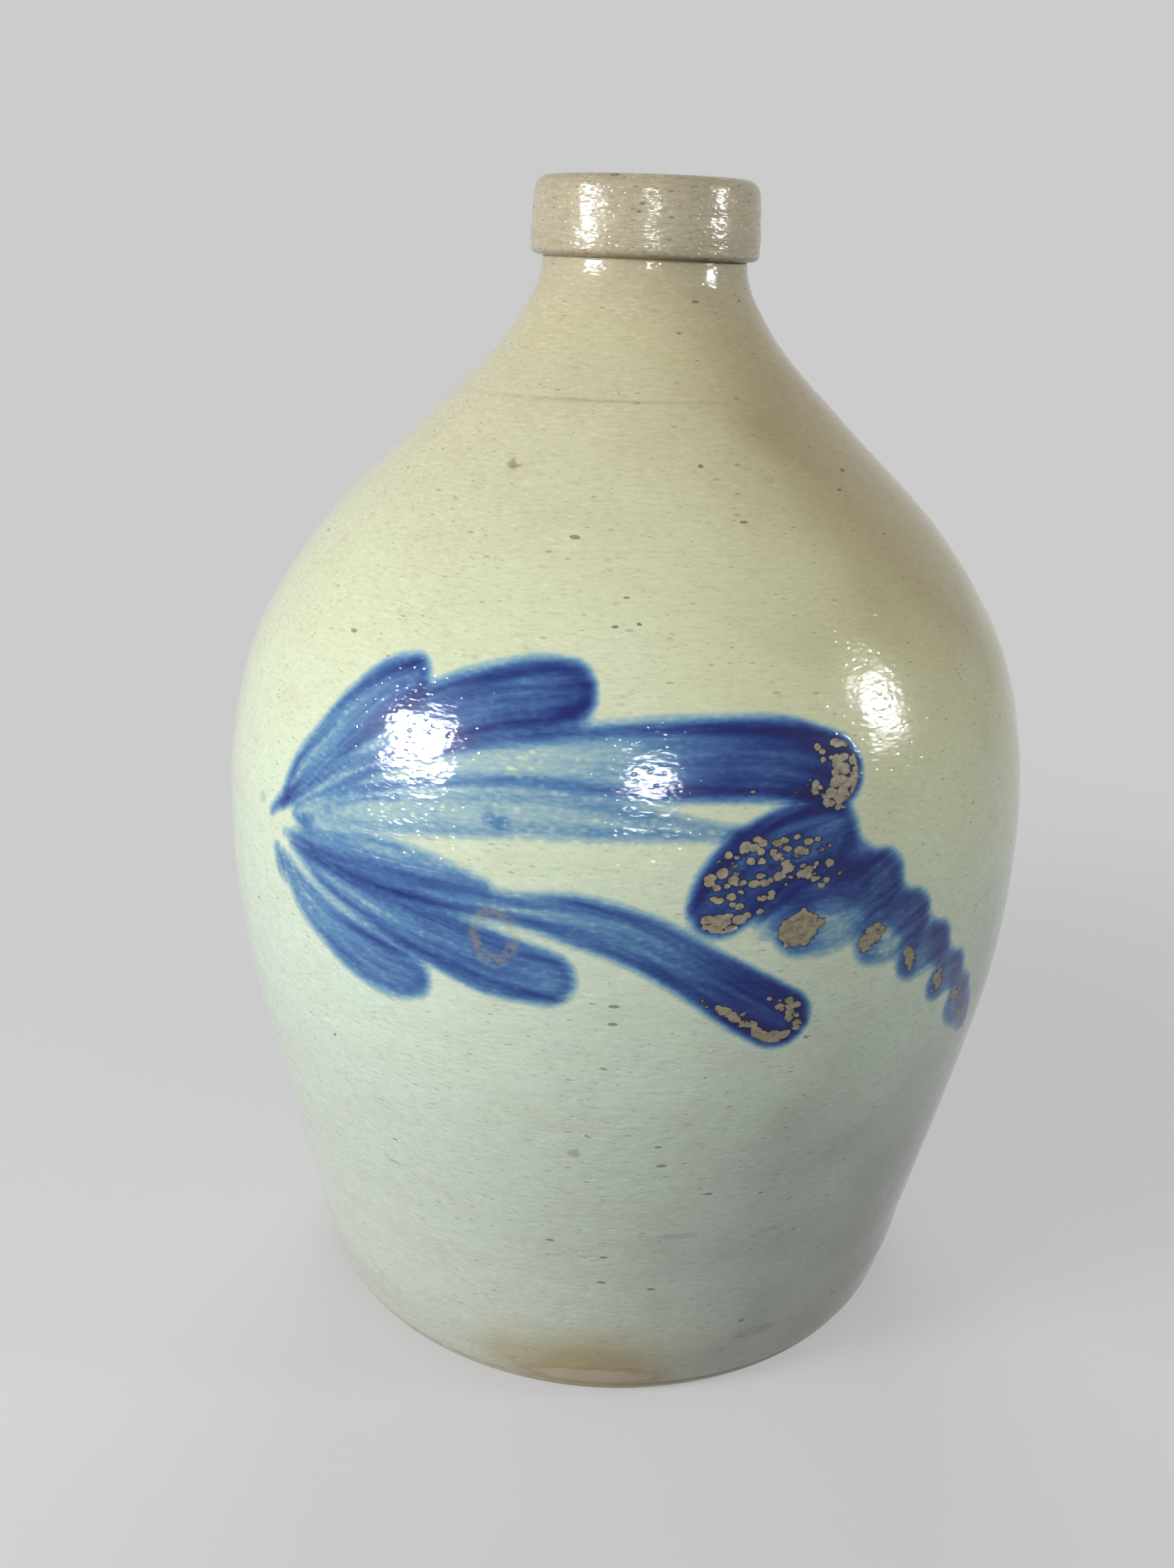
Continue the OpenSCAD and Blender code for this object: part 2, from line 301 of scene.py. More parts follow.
# %% The strokes, and where the slip blistered
STROKES = {                                 # name: (places, load of its left rim, of its right)
    "small upper leaf": ([(-77.5, 140, 1, 5), (-73, 147.5, 3.5, 4), (-66, 155.5, 4.5, 4),
        (-58.5, 163, 5.5, 5), (-51.5, 168.5, 5.5, 7), (-47.5, 170.5, 4.5, 8)], 5, 1),
    "upper leaf": ([(-75, 141, 0.5, 5), (-62.5, 151.5, 2.5, 2.5), (-50, 160, 4.5, 4),
        (-38, 166, 6, 7), (-26, 170, 6, 8.5), (-16, 171.5, 6, 9), (-11.5, 172, 5, 11)], 3, 6),
    "long plume": ([(-72.5, 141, 0.5, 5), (-53, 151, 3, 2), (-36, 157, 4.5, 2),
        (-18.5, 160, 5.5, 2), (0, 161, 7, 3.6), (18.5, 161.5, 7, 9), (33, 160.5, 7, 12),
        (42, 158, 6.5, 15)], 6, 5),
    "pale leaf": ([(-70.5, 139, 0.5, 3), (-53.5, 145, 4, 2.2), (-36.5, 148, 4.5, 2.2),
        (-17.5, 150.5, 4.5, 2.4), (-3, 150.5, 4, 2.8), (9.5, 149.5, 2.5, 3.5), (23, 148, 1, 4)], 1, 2),
    "short leaf": ([(-76.5, 134, 0.5, 4), (-63, 136, 3, 3.2), (-49, 136.5, 4.5, 3.4),
        (-35.5, 136, 4, 3.2), (-26, 135, 2.5, 2.5)], 2, 1),
    "lower plume": ([(-72.5, 134, 0.5, 3), (-52.5, 133, 3.5, 3.5), (-33.5, 132.5, 3.5, 4),
        (-18, 132, 3.5, 4), (-7.5, 131, 5, 4.5), (3, 128, 5.5, 5.5), (15, 121, 5.5, 8.5),
        (24.5, 114.5, 6, 13), (32, 109.5, 6, 16)], 3, 6),
    "second touch": ([(-8.5, 133, 2.5, 2), (-2, 131.5, 3, 1.5), (4, 129, 3, 0)], 1, 0),
    "lower leaf": ([(-73.5, 132.5, 1, 4), (-60, 129, 4, 4), (-46, 125.5, 5, 5.5), (-33.5, 123, 6, 7.2),
        (-22.5, 120, 6.5, 7.4), (-13, 118.5, 5.5, 6.5)], 2, 4),
    "lowest leaf": ([(-76.5, 129, 1, 4), (-70, 123, 4, 4), (-60, 118, 5, 5.5), (-51.5, 115, 6, 6.5),
        (-44, 113.5, 5.5, 6.5), (-41, 113.5, 4.5, 6.5)], 3, 0.5),
    "tassel band": ([(44, 141.5, 5, 6), (51.5, 135, 4.5, 6), (59.5, 127.5, 3.5, 5.5),
        (69, 118.8, 3, 5.5), (77.5, 109.8, 2.6, 5), (85.5, 100.5, 3, 5), (91, 92, 2.2, 5)], 0, 0),
    "tassel wash": ([(28, 129, 2, 2.5), (29.5, 133.5, 3.5, 3), (33.5, 133.5, 4, 3)], 0, 0),
    "tassel fill": ([(33, 137.5, 3, 6.5), (38.5, 136.8, 4, 7), (45, 136, 4.5, 6)], 0, 0),
    "tassel 1": ([(40.5, 146.5, 6.5, 8), (32.5, 144.5, 7.5, 11), (26, 141, 8, 12), (21, 137, 7, 11),
        (19, 134.5, 6, 10)], 3, 5),
    "tassel 2": ([(52.5, 136, 5.8, 8), (47.5, 133.5, 7, 6.5), (41.5, 130, 7.5, 3.2),
        (36, 129, 6.4, 5.5)], 2, 4.5),
    "tassel 3": ([(61, 126, 5.7, 8), (58, 124.5, 6.2, 5.5), (55.8, 123, 6, 3),
        (52.8, 123, 5.3, 5.5)], 2, 4),
    "tassel 4": ([(70.3, 117.2, 4.9, 8.5), (67.2, 116.6, 5, 4), (63.8, 116, 4.5, 7.5)], 2, 3.5),
    "tassel 5": ([(78.6, 108.4, 4.2, 8), (76.4, 108, 4.3, 4), (74, 107.4, 4.1, 8)], 2, 3.5),
    "tassel 6": ([(85.2, 100.4, 3.8, 7.5), (84, 99.5, 4.6, 6), (88, 95, 4.2, 7.5),
        (93, 89, 2.2, 7)], 2, 3.5),
    "first touch": ([(-82, 137, 0.5, 7), (-77.5, 141, 1, 8), (-73.5, 143.5, 0.5, 5)], 0, 0),
    "knot 1": ([(-73, 139, 0.5, 6), (-69, 138.5, 1, 7), (-66.5, 138, 0.5, 4)], 0, 0),
    "knot 2": ([(-79.5, 129.5, 1, 5), (-78, 126, 1.5, 6), (-76.5, 123, 0.5, 3)], 0, 0),
    "knot 3": ([(-71, 133, 0.5, 5), (-67, 132.5, 1, 6), (-65, 131.5, 0.5, 4)], 0, 0),
    "drip": ([(-25.5, 149, 0.5, 3), (-23, 148.5, 1, 4)], 0, 0),
}
BLISTERS = [                                # the last number is how far they run together, of about 10
    [(17.5, 138.5, 4, 4.5), (23, 141.8, 4.6, 4.9), (29, 143, 5, 4.9), (35.5, 142, 5.2, 4.7),
     (41.5, 140, 3.6, 4.2)],
    [(24, 134.5, 3.5, 4), (28, 136, 2.5, 3.8)],
    [(16.5, 131, 1.8, 7.6), (20, 130.8, 2.4, 8.4), (24, 130.5, 1.6, 6)],
    [(32.5, 127.8, 2.2, 8), (35, 128.5, 3.7, 9.6), (37, 129.3, 2.8, 8.4)],
    [(50, 123, 2, 8), (51.5, 124, 2.6, 9.4), (52.5, 124.6, 2.2, 8)],
    [(62, 117.5, 1.7, 8), (63, 115.5, 1.7, 8)], [(73, 109, 1.7, 8), (73.5, 107, 1.7, 8)],
    [(81.5, 102, 1.4, 8), (82.5, 100.5, 1.5, 8)], [(87, 95.3, 1.3, 8), (88, 93.8, 1.2, 8)],
    [(44, 161.5, 3, 5.5), (45.5, 157.5, 3.4, 7), (43.5, 154, 3.4, 8.4), (40.5, 153.5, 1.5, 7)],
    [(40, 162, 2.5, 3.2), (39, 156.5, 2.5, 3.6)],
    [(22.5, 155.5, 0.5, 6), (26.5, 155.5, 0.6, 8), (30.5, 155.5, 0.5, 6), (39.5, 154, 0.5, 7)],
    [(16.5, 115, 0.6, 5), (20.5, 112.3, 1.2, 7), (25, 109.8, 1.2, 7), (28, 107.3, 1, 7)],
    [(28, 106, 1.6, 10), (31, 105, 1.7, 10.5), (34, 105.5, 0.9, 8)],
    [(30.5, 113.5, 1.5, 3.6), (34.5, 112, 2.2, 4.6), (35.5, 108, 2.2, 4.2)],
]
print(f"{len(STROKES)} strokes, {len(BLISTERS)} blistered places")

# %% [markdown]
# How deep the slip lies at a point comes from every stroke over it. A stroke is taken as a row of
# overlapping discs along its middle, so a point's distance inside it is the greatest of radius less
# distance over all its discs. That also says how far along the stroke the point is, and how far to
# its side, which the bristle marks need. The strokes' depths are joined by a power sum, so that
# two layers are darker than one, but not twice as dark.

# %% How deep the slip lies
RADIUS_OF_ARCS = 92                         # mm round the jug are measured at this radius
DISC_STEP = 0.8                             # mm from a stroke's disc to the next
LAYERS = 1.6                                # power by which strokes over each other add up
FAR_OUTSIDE = -9.0                          # mm inside a stroke, for places with no stroke near
BRISTLES_APART = 37                         # mm between strokes in the bristle pattern


def reach(points, places):
    """For points (mm round, mm up) near a stroke: which they are, how far inside it they lie, the
    nearest disc's radius, the load there, and how far along and to the left they are."""
    places = np.asarray(places, float)
    run = np.concatenate([[0], np.cumsum(np.hypot(*np.diff(places[:, :2], axis=0).T))])
    at = np.linspace(0, run[-1], max(6, int(run[-1] / DISC_STEP)))
    line = through(at, run, places)
    heading = np.gradient(line[:, :2], axis=0)
    heading /= np.linalg.norm(heading, axis=1)[:, None]
    low, high = line[:, :2].min(axis=0) - 12, line[:, :2].max(axis=0) + 12
    near = np.flatnonzero(((points > low) & (points < high)).all(axis=1))
    off = points[near, None] - line[None, :, :2]
    within = line[:, 2] - np.hypot(off[..., 0], off[..., 1])
    disc = within.argmax(axis=1)
    off = off[np.arange(len(near)), disc]
    along = at[disc] + (off * heading[disc]).sum(axis=1)
    left = heading[disc, 0] * off[:, 1] - heading[disc, 1] * off[:, 0]
    return near, within.max(axis=1), line[disc, 2], line[disc, 3], along, left


def brush(points):
    """Depth of slip at each point, how far inside the nearest edge it is, how far along and across
    the topmost stroke it lies, and how surely it belongs to that stroke rather than the next one.
    A rim is a bell curve of the distance inside the edge, with its top 1.6 mm in."""
    depth, along, across = np.zeros((3, len(points)))
    best, second, edge = np.full((3, len(points)), FAR_OUTSIDE)
    for number, (places, left_rim, right_rim) in enumerate(STROKES.values()):
        near, within, half, load, run, left = reach(points, places)
        edge[near] = np.maximum(edge[near], within)
        cover = smooth((within + 2.6) / 2.8)
        side = np.clip(0.5 + 0.5 * left / np.maximum(half, 0.5), 0, 1)
        rim = (right_rim + (left_rim - right_rim) * side) * np.clip(half / 3, 0, 1)
        layer = cover * (0.62 * load + 0.5 * rim * np.exp(-((within - 1.6) / 1.3) ** 2))
        depth[near] += layer ** LAYERS
        weight = layer + 0.1 * within
        wins = weight > best[near]
        second[near] = np.where(wins, best[near], np.maximum(second[near], weight))
        won = near[wins]
        best[won], along[won] = weight[wins], run[wins]
        across[won] = left[wins] + BRISTLES_APART * number
    return depth ** (1 / LAYERS), edge, along, across, smooth((best - second) / 0.8)


def blistered(points):
    """How far blisters run together at each point, from 0 to 1."""
    most = np.zeros(len(points))
    for places in BLISTERS:
        near, within, _, amount, _, _ = reach(points, places)
        most[near] = np.maximum(most[near], smooth((within + 0.7) / 1.6) * amount / 10)
    return most


arc_up = np.stack([RADIUS_OF_ARCS * np.where(angles > math.pi, angles - 2 * math.pi, angles)
                   + 0 * heights[:, None], heights[:, None] + 0 * angles], axis=-1)
spots = arc_up.reshape(-1, 2)
found = (*brush(spots), blistered(spots))
names = ("depth", "edge", "along", "across", "sure", "blister")
fields = {name: values.reshape(arc_up.shape[:2]) for name, values in zip(names, found)}
print(f"slip lies on {(fields['edge'] > 0).mean():.0%} of the outside's points")

# %% [markdown]
# Fire marks the clay as well. Where the jug stood on the kiln's floor its foot was toasted yellow
# brown round a pale scar. Three more patches are painted on. The right shoulder is a darker tan
# towards its edge, a painted pool of warm light lies in front of it round the right-hand gloss,
# and painted shade greys the lower right. They are broad and soft, so they are painted on the same
# grid: a bell curve round the middle of each, broken up by lumps. The last is a darker line along
# the scratched line, across the front alone.

# %% Right shoulder tan, painted warm light, toast, scar, painted shade and the scratch's dark line
def cloud(points, arc_mm, up, wide, high, seed):
    """A soft patch: exp of minus the squared distance from its middle, each way in its own size,
    with its edge pushed in and out by lumps."""
    x, y, z = np.moveaxis(points, -1, 0)
    round_mm = RADIUS_OF_ARCS * np.arctan2(x, -y)
    far = ((round_mm - arc_mm) / wide) ** 2 + ((z - up) / high) ** 2
    return np.exp(-far * (1 + 0.5 * lumps(points, 12, seed)))


# The right shoulder is painted a darker tan towards its edge, in three soft patches.
fields["blush"] = np.clip(cloud(ware, 100, 196, 42, 30, 11) + 0.7 * cloud(ware, 84, 222, 60, 22, 12)
                          + 0.35 * cloud(ware, 96, 160, 26, 26, 13), 0, 1)
# Painted light: a warm, paler cream round the right-hand gloss on the shoulder.
fields["warmth"] = cloud(ware, 62, 178, 46, 50, 17)
fields["toast"] = cloud(ware, -3, 10, 28, 12, 14)
fields["scar"] = cloud(ware, -3, 7.2, 20, 3.2, 15)
# Painted shade: the lower right of the jug is greyed and darkened.
fields["smoke"] = cloud(ware, 112, 30, 62, 62, 16)
sines = np.sin(angles)
# A darker line along the scratched line, strongest across the front.
fields["dirt"] = (np.exp(-(above_scratch(ware[..., 2], sines) / 0.32) ** 2)
                  * np.exp(-((sines + 0.15) / 0.42) ** 2) * (ware[..., 1] < 0))
for name, values in fields.items():
    whole = np.full(body_grid.shape[:2], FAR_OUTSIDE if name == "edge" else 0.0)
    whole[shell] = values
    keep(jug_body, name, whole)
print("kept on the body:", ", ".join(fields))

# %% [markdown]
# ## The collar
# The thick collar was a coil of clay set on the neck and turned true. Its rim is well rounded, and
# the rib that turned its side left two faint bands. Its lower edge is cut sharp, not quite level,
# and throws a dark line of shade. It is the same kind of turned grid, closed into a ring through
# the mouth. Only the outer part of the lower edge moves, so that no gap opens where it stands on
# the neck.

# %% Turn the collar
MOUTH, LIP = 14.5, 1.8                      # the mouth's radius, and that of the edge round it
HEM, RIM_ROUND = 1.4, 3.1                   # radii of the collar's lower and upper outer edges
LEAN, HIGHEST_AT = 0.62, -43                # mm the lower edge rises, and at which degrees most

collar_angles = np.radians(np.arange(0, 360, 1.5))
side = np.linspace(0, 1, 26)[1:-1]
two_bands = np.where(side < 0.6, 0.14 * np.sin(np.pi * side / 0.6),
                     0.10 * np.sin(np.pi * (side - 0.6) / 0.4))
collar_profile = np.vstack([
    [[SPIGOT, SEAT - 0.2], [21.0, SEAT - 0.2], [22.6, SEAT - 0.05]],
    arc((23.75, SEAT + HEM), HEM, -90, -5, 8),
    np.stack([25.1 + two_bands - 0.5 * side ** 2, SEAT + 1.6 + 11.4 * side], axis=-1),
    arc((21.5, RIM - RIM_ROUND), RIM_ROUND, 3, 90, 10),
    [[19.5, RIM]],
    arc((MOUTH + LIP, RIM - LIP), LIP, 90, 180, 6),
    [[MOUTH, 259.5], [MOUTH, SPIGOT_TOP], [SPIGOT, SPIGOT_TOP]]])
collar_grid = turned(collar_profile, collar_angles)
x, y, z = np.moveaxis(collar_grid, -1, 0)
r = np.hypot(x, y)
lean = LEAN * np.cos(collar_angles - np.radians(HIGHEST_AT))
lean = lean * smooth((r - 21.5) / 3) * smooth((RIM - 3 - z) / 9)
collar_grid[..., 2] += np.clip(lean, -0.1, 1) + 0.12 * lumps(collar_grid, 9, 21) * smooth((r - 22) / 2)
turning = np.stack([x / 40, y / 40, z / 1.6], axis=-1)
thin = 0.05 * (1 + lumps(turning, 1, 22)) + 0.07 * (1 + lumps(collar_grid, 14, 23))
collar_grid[..., :2] *= (1 - thin * smooth((r - 20) / 3) / r)[..., None]
collar = skin("collar_ware", collar_grid, ring=True)

# %% [markdown]
# ## The strap handle
# A handle like this is pulled: a lump of clay is drawn out by a wet hand into a tapering strap,
# whose thumb leaves two shallow grooves along the back. It leaves the neck upwards, turns over a
# low crown, and comes down steeply on the shoulder. Its middle line is a curve through four marks
# with a heading at each, and its section is a rounded oblong, carried along that line.

# %% Pull the strap
HANDLE_MARKS = [(30.0, 231.5, 32), (53.8, 243.5, 0), (88.2, 211.6, -90), (81.7, 173.7, -124)]
mark_yz = np.array([m[:2] for m in HANDLE_MARKS])
mark_heading = np.radians([m[2] for m in HANDLE_MARKS])
mark_heading = np.stack([np.cos(mark_heading), np.sin(mark_heading)], axis=-1)
PULL = 1.17                                 # end tangents as a share of a span's chord
RUN_ON = 22.5                               # how fast the buried ends run on straight, per unit
STREAKS_RUN = 49.5                          # mm of the streaks' pattern from each mark to the next
GROOVE = 0.8                                # depth of the two grooves
SQUARENESS = 0.7                            # power of cosine and sine in the section, 1 is an ellipse


def strap_line(u):
    """Middle line of the strap and its heading at the places u: 0 is the root and each mark adds 1.
    Between two marks it is the cubic that leaves and meets them along their headings."""
    i = np.clip(np.floor(u).astype(int), 0, 2)
    t = (np.clip(u, 0, 3) - i)[..., None]
    p, q = mark_yz[i], mark_yz[i + 1]
    pull = PULL * np.linalg.norm(q - p, axis=-1)[..., None]
    a, b = pull * mark_heading[i], pull * mark_heading[i + 1]
    place = (1 - t) ** 2 * ((1 + 2 * t) * p + t * a) + t * t * ((3 - 2 * t) * q - (1 - t) * b)
    course = 6 * t * (1 - t) * (q - p) + (1 - t) * (1 - 3 * t) * a + t * (3 * t - 2) * b
    course = course / np.linalg.norm(course, axis=-1)[..., None]
    past = (u - np.clip(u, 0, 3))[..., None]
    return place + past * RUN_ON * course, course


def strap_surface(u, a, grow=0.0, groove=0.0):
    """Points of the strap's skin at the places u along it and the angles a round its section, an
    oblong whose sides are powers of cosine and sine, with two grooves along its back."""
    place, course = strap_line(u)
    wide = 31 - 5 * smooth(u) + 2 * grow
    thick = 11 - 2 * smooth(u) + 2 * grow
    x = wide / 2 * np.sign(np.cos(a)) * np.abs(np.cos(a)) ** SQUARENESS
    h = thick / 2 * np.sign(np.sin(a)) * np.abs(np.sin(a)) ** SQUARENESS
    h = h - np.where(np.sin(a) > 0, groove * np.sin(2 * np.pi * x / wide) ** 2, 0)
    return np.stack([x, place[..., 0] - h * course[..., 1], place[..., 1] + h * course[..., 0]], axis=-1)


round_strap = np.radians(np.linspace(0, 360, 73)[:-1])
u = np.concatenate([[-0.16], np.linspace(-0.15, 3.15, 150), [3.16]])[:, None]
strap_grid = strap_surface(u, round_strap, groove=GROOVE)
drag = lumps(strap_grid / [1.0, 9.0, 9.0], 2.2, 31)
uneven = 0.12 * drag + 0.35 * lumps(strap_grid, 17, 32)
inward = strap_surface(u, round_strap, grow=-1.0, groove=GROOVE) - strap_grid
strap_grid = strap_grid + inward * (0.35 + uneven)[..., None]
strap_grid[[0, -1]] = strap_grid[[0, -1]].mean(axis=1, keepdims=True)
strap = skin("strap_ware", strap_grid)
keep(strap, "pulled", STREAKS_RUN * u + 0 * strap_grid[..., 0])

# %% [markdown]
# ## The luting wads
# Clay is pressed and smeared round each end of the strap so that it grips the pot. The smear is a
# concave fillet. Its outer edge runs out flat on the jug, along the skin that the hand worked, and
# its inner edge runs out along the strap, with dents where a fingertip pressed. For each angle
# round the strap, the jug's skin and the strap's skin are found, and a curve with one handle on
# each joins them. Its two edges are tucked into the clay below, so the seam closes out of sight.

# %% Smear a wad round each end
def on_the_jug(at_neck, grow, a):
    """Where the strap, grown by `grow`, leaves the jug at each angle a: 300 steps are taken along
    it, and the first one outside the jug is found by the sign of radius less outline."""
    steps = np.linspace(-0.75, 0.9, 300)[:, None]
    u = steps if at_neck else 3 - steps
    points = strap_surface(u, a, grow)
    radius = outline(points[..., 2].ravel()).reshape(points.shape[:2])
    out = np.hypot(points[..., 0], points[..., 1]) - radius
    i = np.argmax(out > 0, axis=0)
    j = np.arange(len(a))
    share = out[i, j] / (out[i, j] - out[i - 1, j])
    return u[i, 0] + share * (u[i - 1, 0] - u[i, 0])


def wad(name, at_neck, seed):
    """A fillet between the jug's skin and the strap's: the cubic from the jug point to the strap
    point whose handles lie towards their meeting, with fingertip dents across it."""
    a = np.radians(np.linspace(0, 360, 121)[:-1])
    onward = 1 if at_neck else -1
    ring = np.stack([np.cos(a) * 3, np.sin(a) * 3, 0 * a + seed], axis=-1)
    spread = (4.2 if at_neck else 5.2 + 3.0 * smooth(np.sin(a))) + 1.2 * lumps(ring, 1.3, seed)
    climb = 8.0 + 1.8 * lumps(ring, 1.1, seed + 1)
    jug = strap_surface(on_the_jug(at_neck, spread, a), a, spread)
    jug[:, :2] *= (1 - (hand(jug) + 0.02) / np.hypot(jug[:, 0], jug[:, 1]))[:, None]
    meet_u = on_the_jug(at_neck, 0.0, a)
    meet = strap_surface(meet_u, a)
    span = PULL * np.linalg.norm(mark_yz[1] - mark_yz[0] if at_neck else mark_yz[3] - mark_yz[2])
    strap_u = meet_u + onward * climb / span
    on_strap = strap_surface(strap_u, a, -0.25, GROOVE)
    t = np.linspace(0, 1, 15)[:, None, None]
    first, second = jug + 0.8 * (meet - jug), on_strap + 0.65 * (meet - on_strap)
    fillet = ((1 - t) ** 3 * jug + 3 * t * (1 - t) ** 2 * first
              + 3 * t * t * (1 - t) * second + t ** 3 * on_strap)
    lift = fillet - strap_surface(meet_u, a, -4.0)
    lift = lift / np.linalg.norm(lift, axis=-1)[..., None]
    dents = 0.5 * lumps(fillet, 6.5, seed + 2) + 0.25 * lumps(fillet, 2.8, seed + 3)
    fillet = fillet + lift * (0.6 + dents)[..., None] * np.sin(np.pi * t) ** 2
    axis_in = np.stack([jug[:, 0], jug[:, 1], 0 * a], axis=-1)
    tuck_jug = jug - 2.0 * axis_in / np.linalg.norm(axis_in, axis=-1)[:, None]
    tuck_strap = strap_surface(strap_u, a, -1.8)
    hidden = strap_surface(meet_u - onward * 0.06, a, -2.2)
    return skin(name, np.concatenate([[tuck_jug], fillet, [tuck_strap], [hidden]]), ring=True)


neck_wad = wad("neck_wad_ware", True, 41)
shoulder_wad = wad("shoulder_wad_ware", False, 51)

# %% [markdown]
# ## The cork
# A cork is a plug cut from bark and pushed into the mouth, so its skin is pitted and its edge a
# little worn. It is a turned grid with pits pressed in by lumps, deepest where they are strongest.

# %% Cut the cork
CORK_FOOT, CORK_TOP = 225.8, 261.8
SMALL_END, BIG_END = 12.4, 14.2             # radii
WORN, PIT = 0.8, 0.5                        # radius of its edges, and depth of its pits

cork_angles = np.radians(np.arange(0, 360, 2.5))
across_top = [[out, CORK_TOP] for out in (12.4, 11.2, 10, 8.5, 7, 5.5, 4, 2.5, 1.2, 0)]
cork_profile = np.vstack([
    [[0, CORK_FOOT], [6, CORK_FOOT]], arc((SMALL_END - WORN, CORK_FOOT + WORN), WORN, -90, 0, 4),
    np.stack([SMALL_END + (BIG_END - SMALL_END) * side, CORK_FOOT + 1.0 + 34.0 * side], axis=-1),
    arc((BIG_END - WORN, CORK_TOP - WORN), WORN, 0, 90, 4), across_top])
cork_grid = turned(cork_profile, cork_angles)
up_cork = cork_grid[..., 2].copy()
pits = smooth(2.2 * lumps(cork_grid, 2.4, 61) - 0.6) * PIT
pits = pits * (up_cork > CORK_FOOT + 0.2) * (cork_profile[:, :1] > 0.5)
cork_grid[..., 2] -= pits * (up_cork > CORK_TOP - 0.3)
radius = np.maximum(np.hypot(cork_grid[..., 0], cork_grid[..., 1]), 1)
cork_grid[..., :2] *= (1 - pits * (up_cork < CORK_TOP - WORN) / radius)[..., None]
cork = skin("cork_bark", cork_grid)

# %% [markdown]
# ## Shader tools
# Materials are built from nodes, and short helpers keep that readable. They place a node and feed
# its inputs, give a colour as it is named on a screen, draw a smooth step between two values, and
# tint a colour where a mask says so. Every pattern reads Object coordinates in millimetres, so a
# pattern stays on its piece, and its size can be checked with a ruler.

# %% Helpers for nodes
def feed(tree, socket, value):
    """Links a socket to an input, or sets the input to a number, a colour or a vector."""
    if isinstance(value, bpy.types.NodeSocket):
        tree.links.new(value, socket)
    else:
        socket.default_value = value


def put(tree, kind, inputs=None, out=0, **settings):
    """Adds a node, sets what it is told, feeds its inputs, and returns one output."""
    made = tree.nodes.new("ShaderNode" + kind)
    for name, value in settings.items():
        setattr(made, name, value)
    for key, value in (inputs or {}).items():
        feed(tree, made.inputs[key], value)
    return made.outputs[out]


def colour(name):
    """The linear colour of a screen colour such as "#c8b090": the screen's own curve undone."""
    parts = [int(name[i:i + 2], 16) / 255 for i in (1, 3, 5)]
    return tuple(p / 12.92 if p <= 0.04045 else ((p + 0.055) / 1.055) ** 2.4 for p in parts) + (1,)


def maths(tree, operation, a, b=0.0, c=0.0):
    """One sum: the operation on a, b and c, each a socket or a number."""
    return put(tree, "Math", {0: a, 1: b, 2: c}, operation=operation)


def vector(tree, operation, a, b=(0, 0, 0), c=(0, 0, 0)):
    """One sum on vectors: the operation on a, b and c, each a socket or three numbers."""
    return put(tree, "VectorMath", {0: a, 1: b, 2: c}, operation=operation)


def length(tree, place):
    """How far a place is from the middle."""
    return put(tree, "VectorMath", {0: place}, out="Value", operation="LENGTH")


def swayed(tree, value, wave, amount):
    """The value pushed up and down by a wave from 0 to 1: value + amount * (wave - 0.5)."""
    return maths(tree, "MULTIPLY_ADD", maths(tree, "SUBTRACT", wave, 0.5), amount, value)


def step(tree, value, low, high):
    """0 below low, 1 above high, and a smooth rise between. A high below low turns it round."""
    return put(tree, "MapRange", {"Value": value, "From Min": low, "From Max": high},
               interpolation_type="SMOOTHSTEP")


def blend(tree, share, a, b):
    """Colour a turned into colour b by the share. A Mix node has sockets of every kind under the
    same names, so the colour ones are found by their places."""
    return put(tree, "Mix", {0: share, 6: a, 7: b}, out=2, data_type="RGBA")


def tint(tree, base, mask, strength, name):
    """The colour turned towards a named one by the mask times the strength."""
    return blend(tree, maths(tree, "MULTIPLY", mask, strength), base, colour(name))


def ramp(tree, value, stops):
    """Colours at places from 0 to 1, straight between them."""
    made = put(tree, "ValToRGB", {0: value}).node
    elements = made.color_ramp.elements
    while len(elements) < len(stops):
        elements.new(1.0)
    for element, (place, name) in zip(elements, stops):
        element.position, element.color = place, colour(name)
    return made.outputs[0]


def scaled(tree, place, x, y, z):
    """The place with each axis divided by its own length, to size a pattern in millimetres."""
    return vector(tree, "MULTIPLY", place, (1 / x, 1 / y, 1 / z))


def shrunk(tree, place, size):
    """The place divided by one length that is a socket."""
    return put(tree, "VectorMath", {0: place, 3: maths(tree, "DIVIDE", 1.0, size)}, operation="SCALE")


def flatter(tree, place, times):
    """The place with its height multiplied, which makes a pattern on it that many times flatter."""
    return vector(tree, "MULTIPLY", place, put(tree, "CombineXYZ", {"X": 1.0, "Y": 1.0, "Z": times}))


def noise(tree, place, sizes, detail=2.0, roughness=0.5):
    """Soft noise about 0.5, with lumps of the sizes in mm along the three axes."""
    return put(tree, "TexNoise", {"Vector": scaled(tree, place, *sizes), "Scale": 1.0,
                                  "Detail": detail, "Roughness": roughness})


def cells(tree, place, randomness=1.0):
    """Cells scattered through space, one for each unit: the distance from the middle of the one
    that a point is in, and that cell's own number drawn from 0 to 1."""
    made = put(tree, "TexVoronoi", {"Vector": place, "Scale": 1.0, "Randomness": randomness}).node
    return made.outputs["Distance"], put(tree, "SeparateColor", {0: made.outputs["Color"]})


def effect(name, inputs, output):
    """An empty node group with those inputs and one number as its output: its tree, the sockets
    of its inputs, and the socket that its answer goes to."""
    tree = bpy.data.node_groups.new(name, "ShaderNodeTree")
    for socket, kind in inputs.items():
        tree.interface.new_socket(socket, in_out="INPUT", socket_type="NodeSocket" + kind)
    tree.interface.new_socket(output, in_out="OUTPUT", socket_type="NodeSocketFloat")
    given = tree.nodes.new("NodeGroupInput").outputs
    return tree, given, tree.nodes.new("NodeGroupOutput").inputs[output]


def use(tree, group, inputs):
    """Places a group with its own values and returns its output."""
    return put(tree, "Group", inputs, node_tree=group)

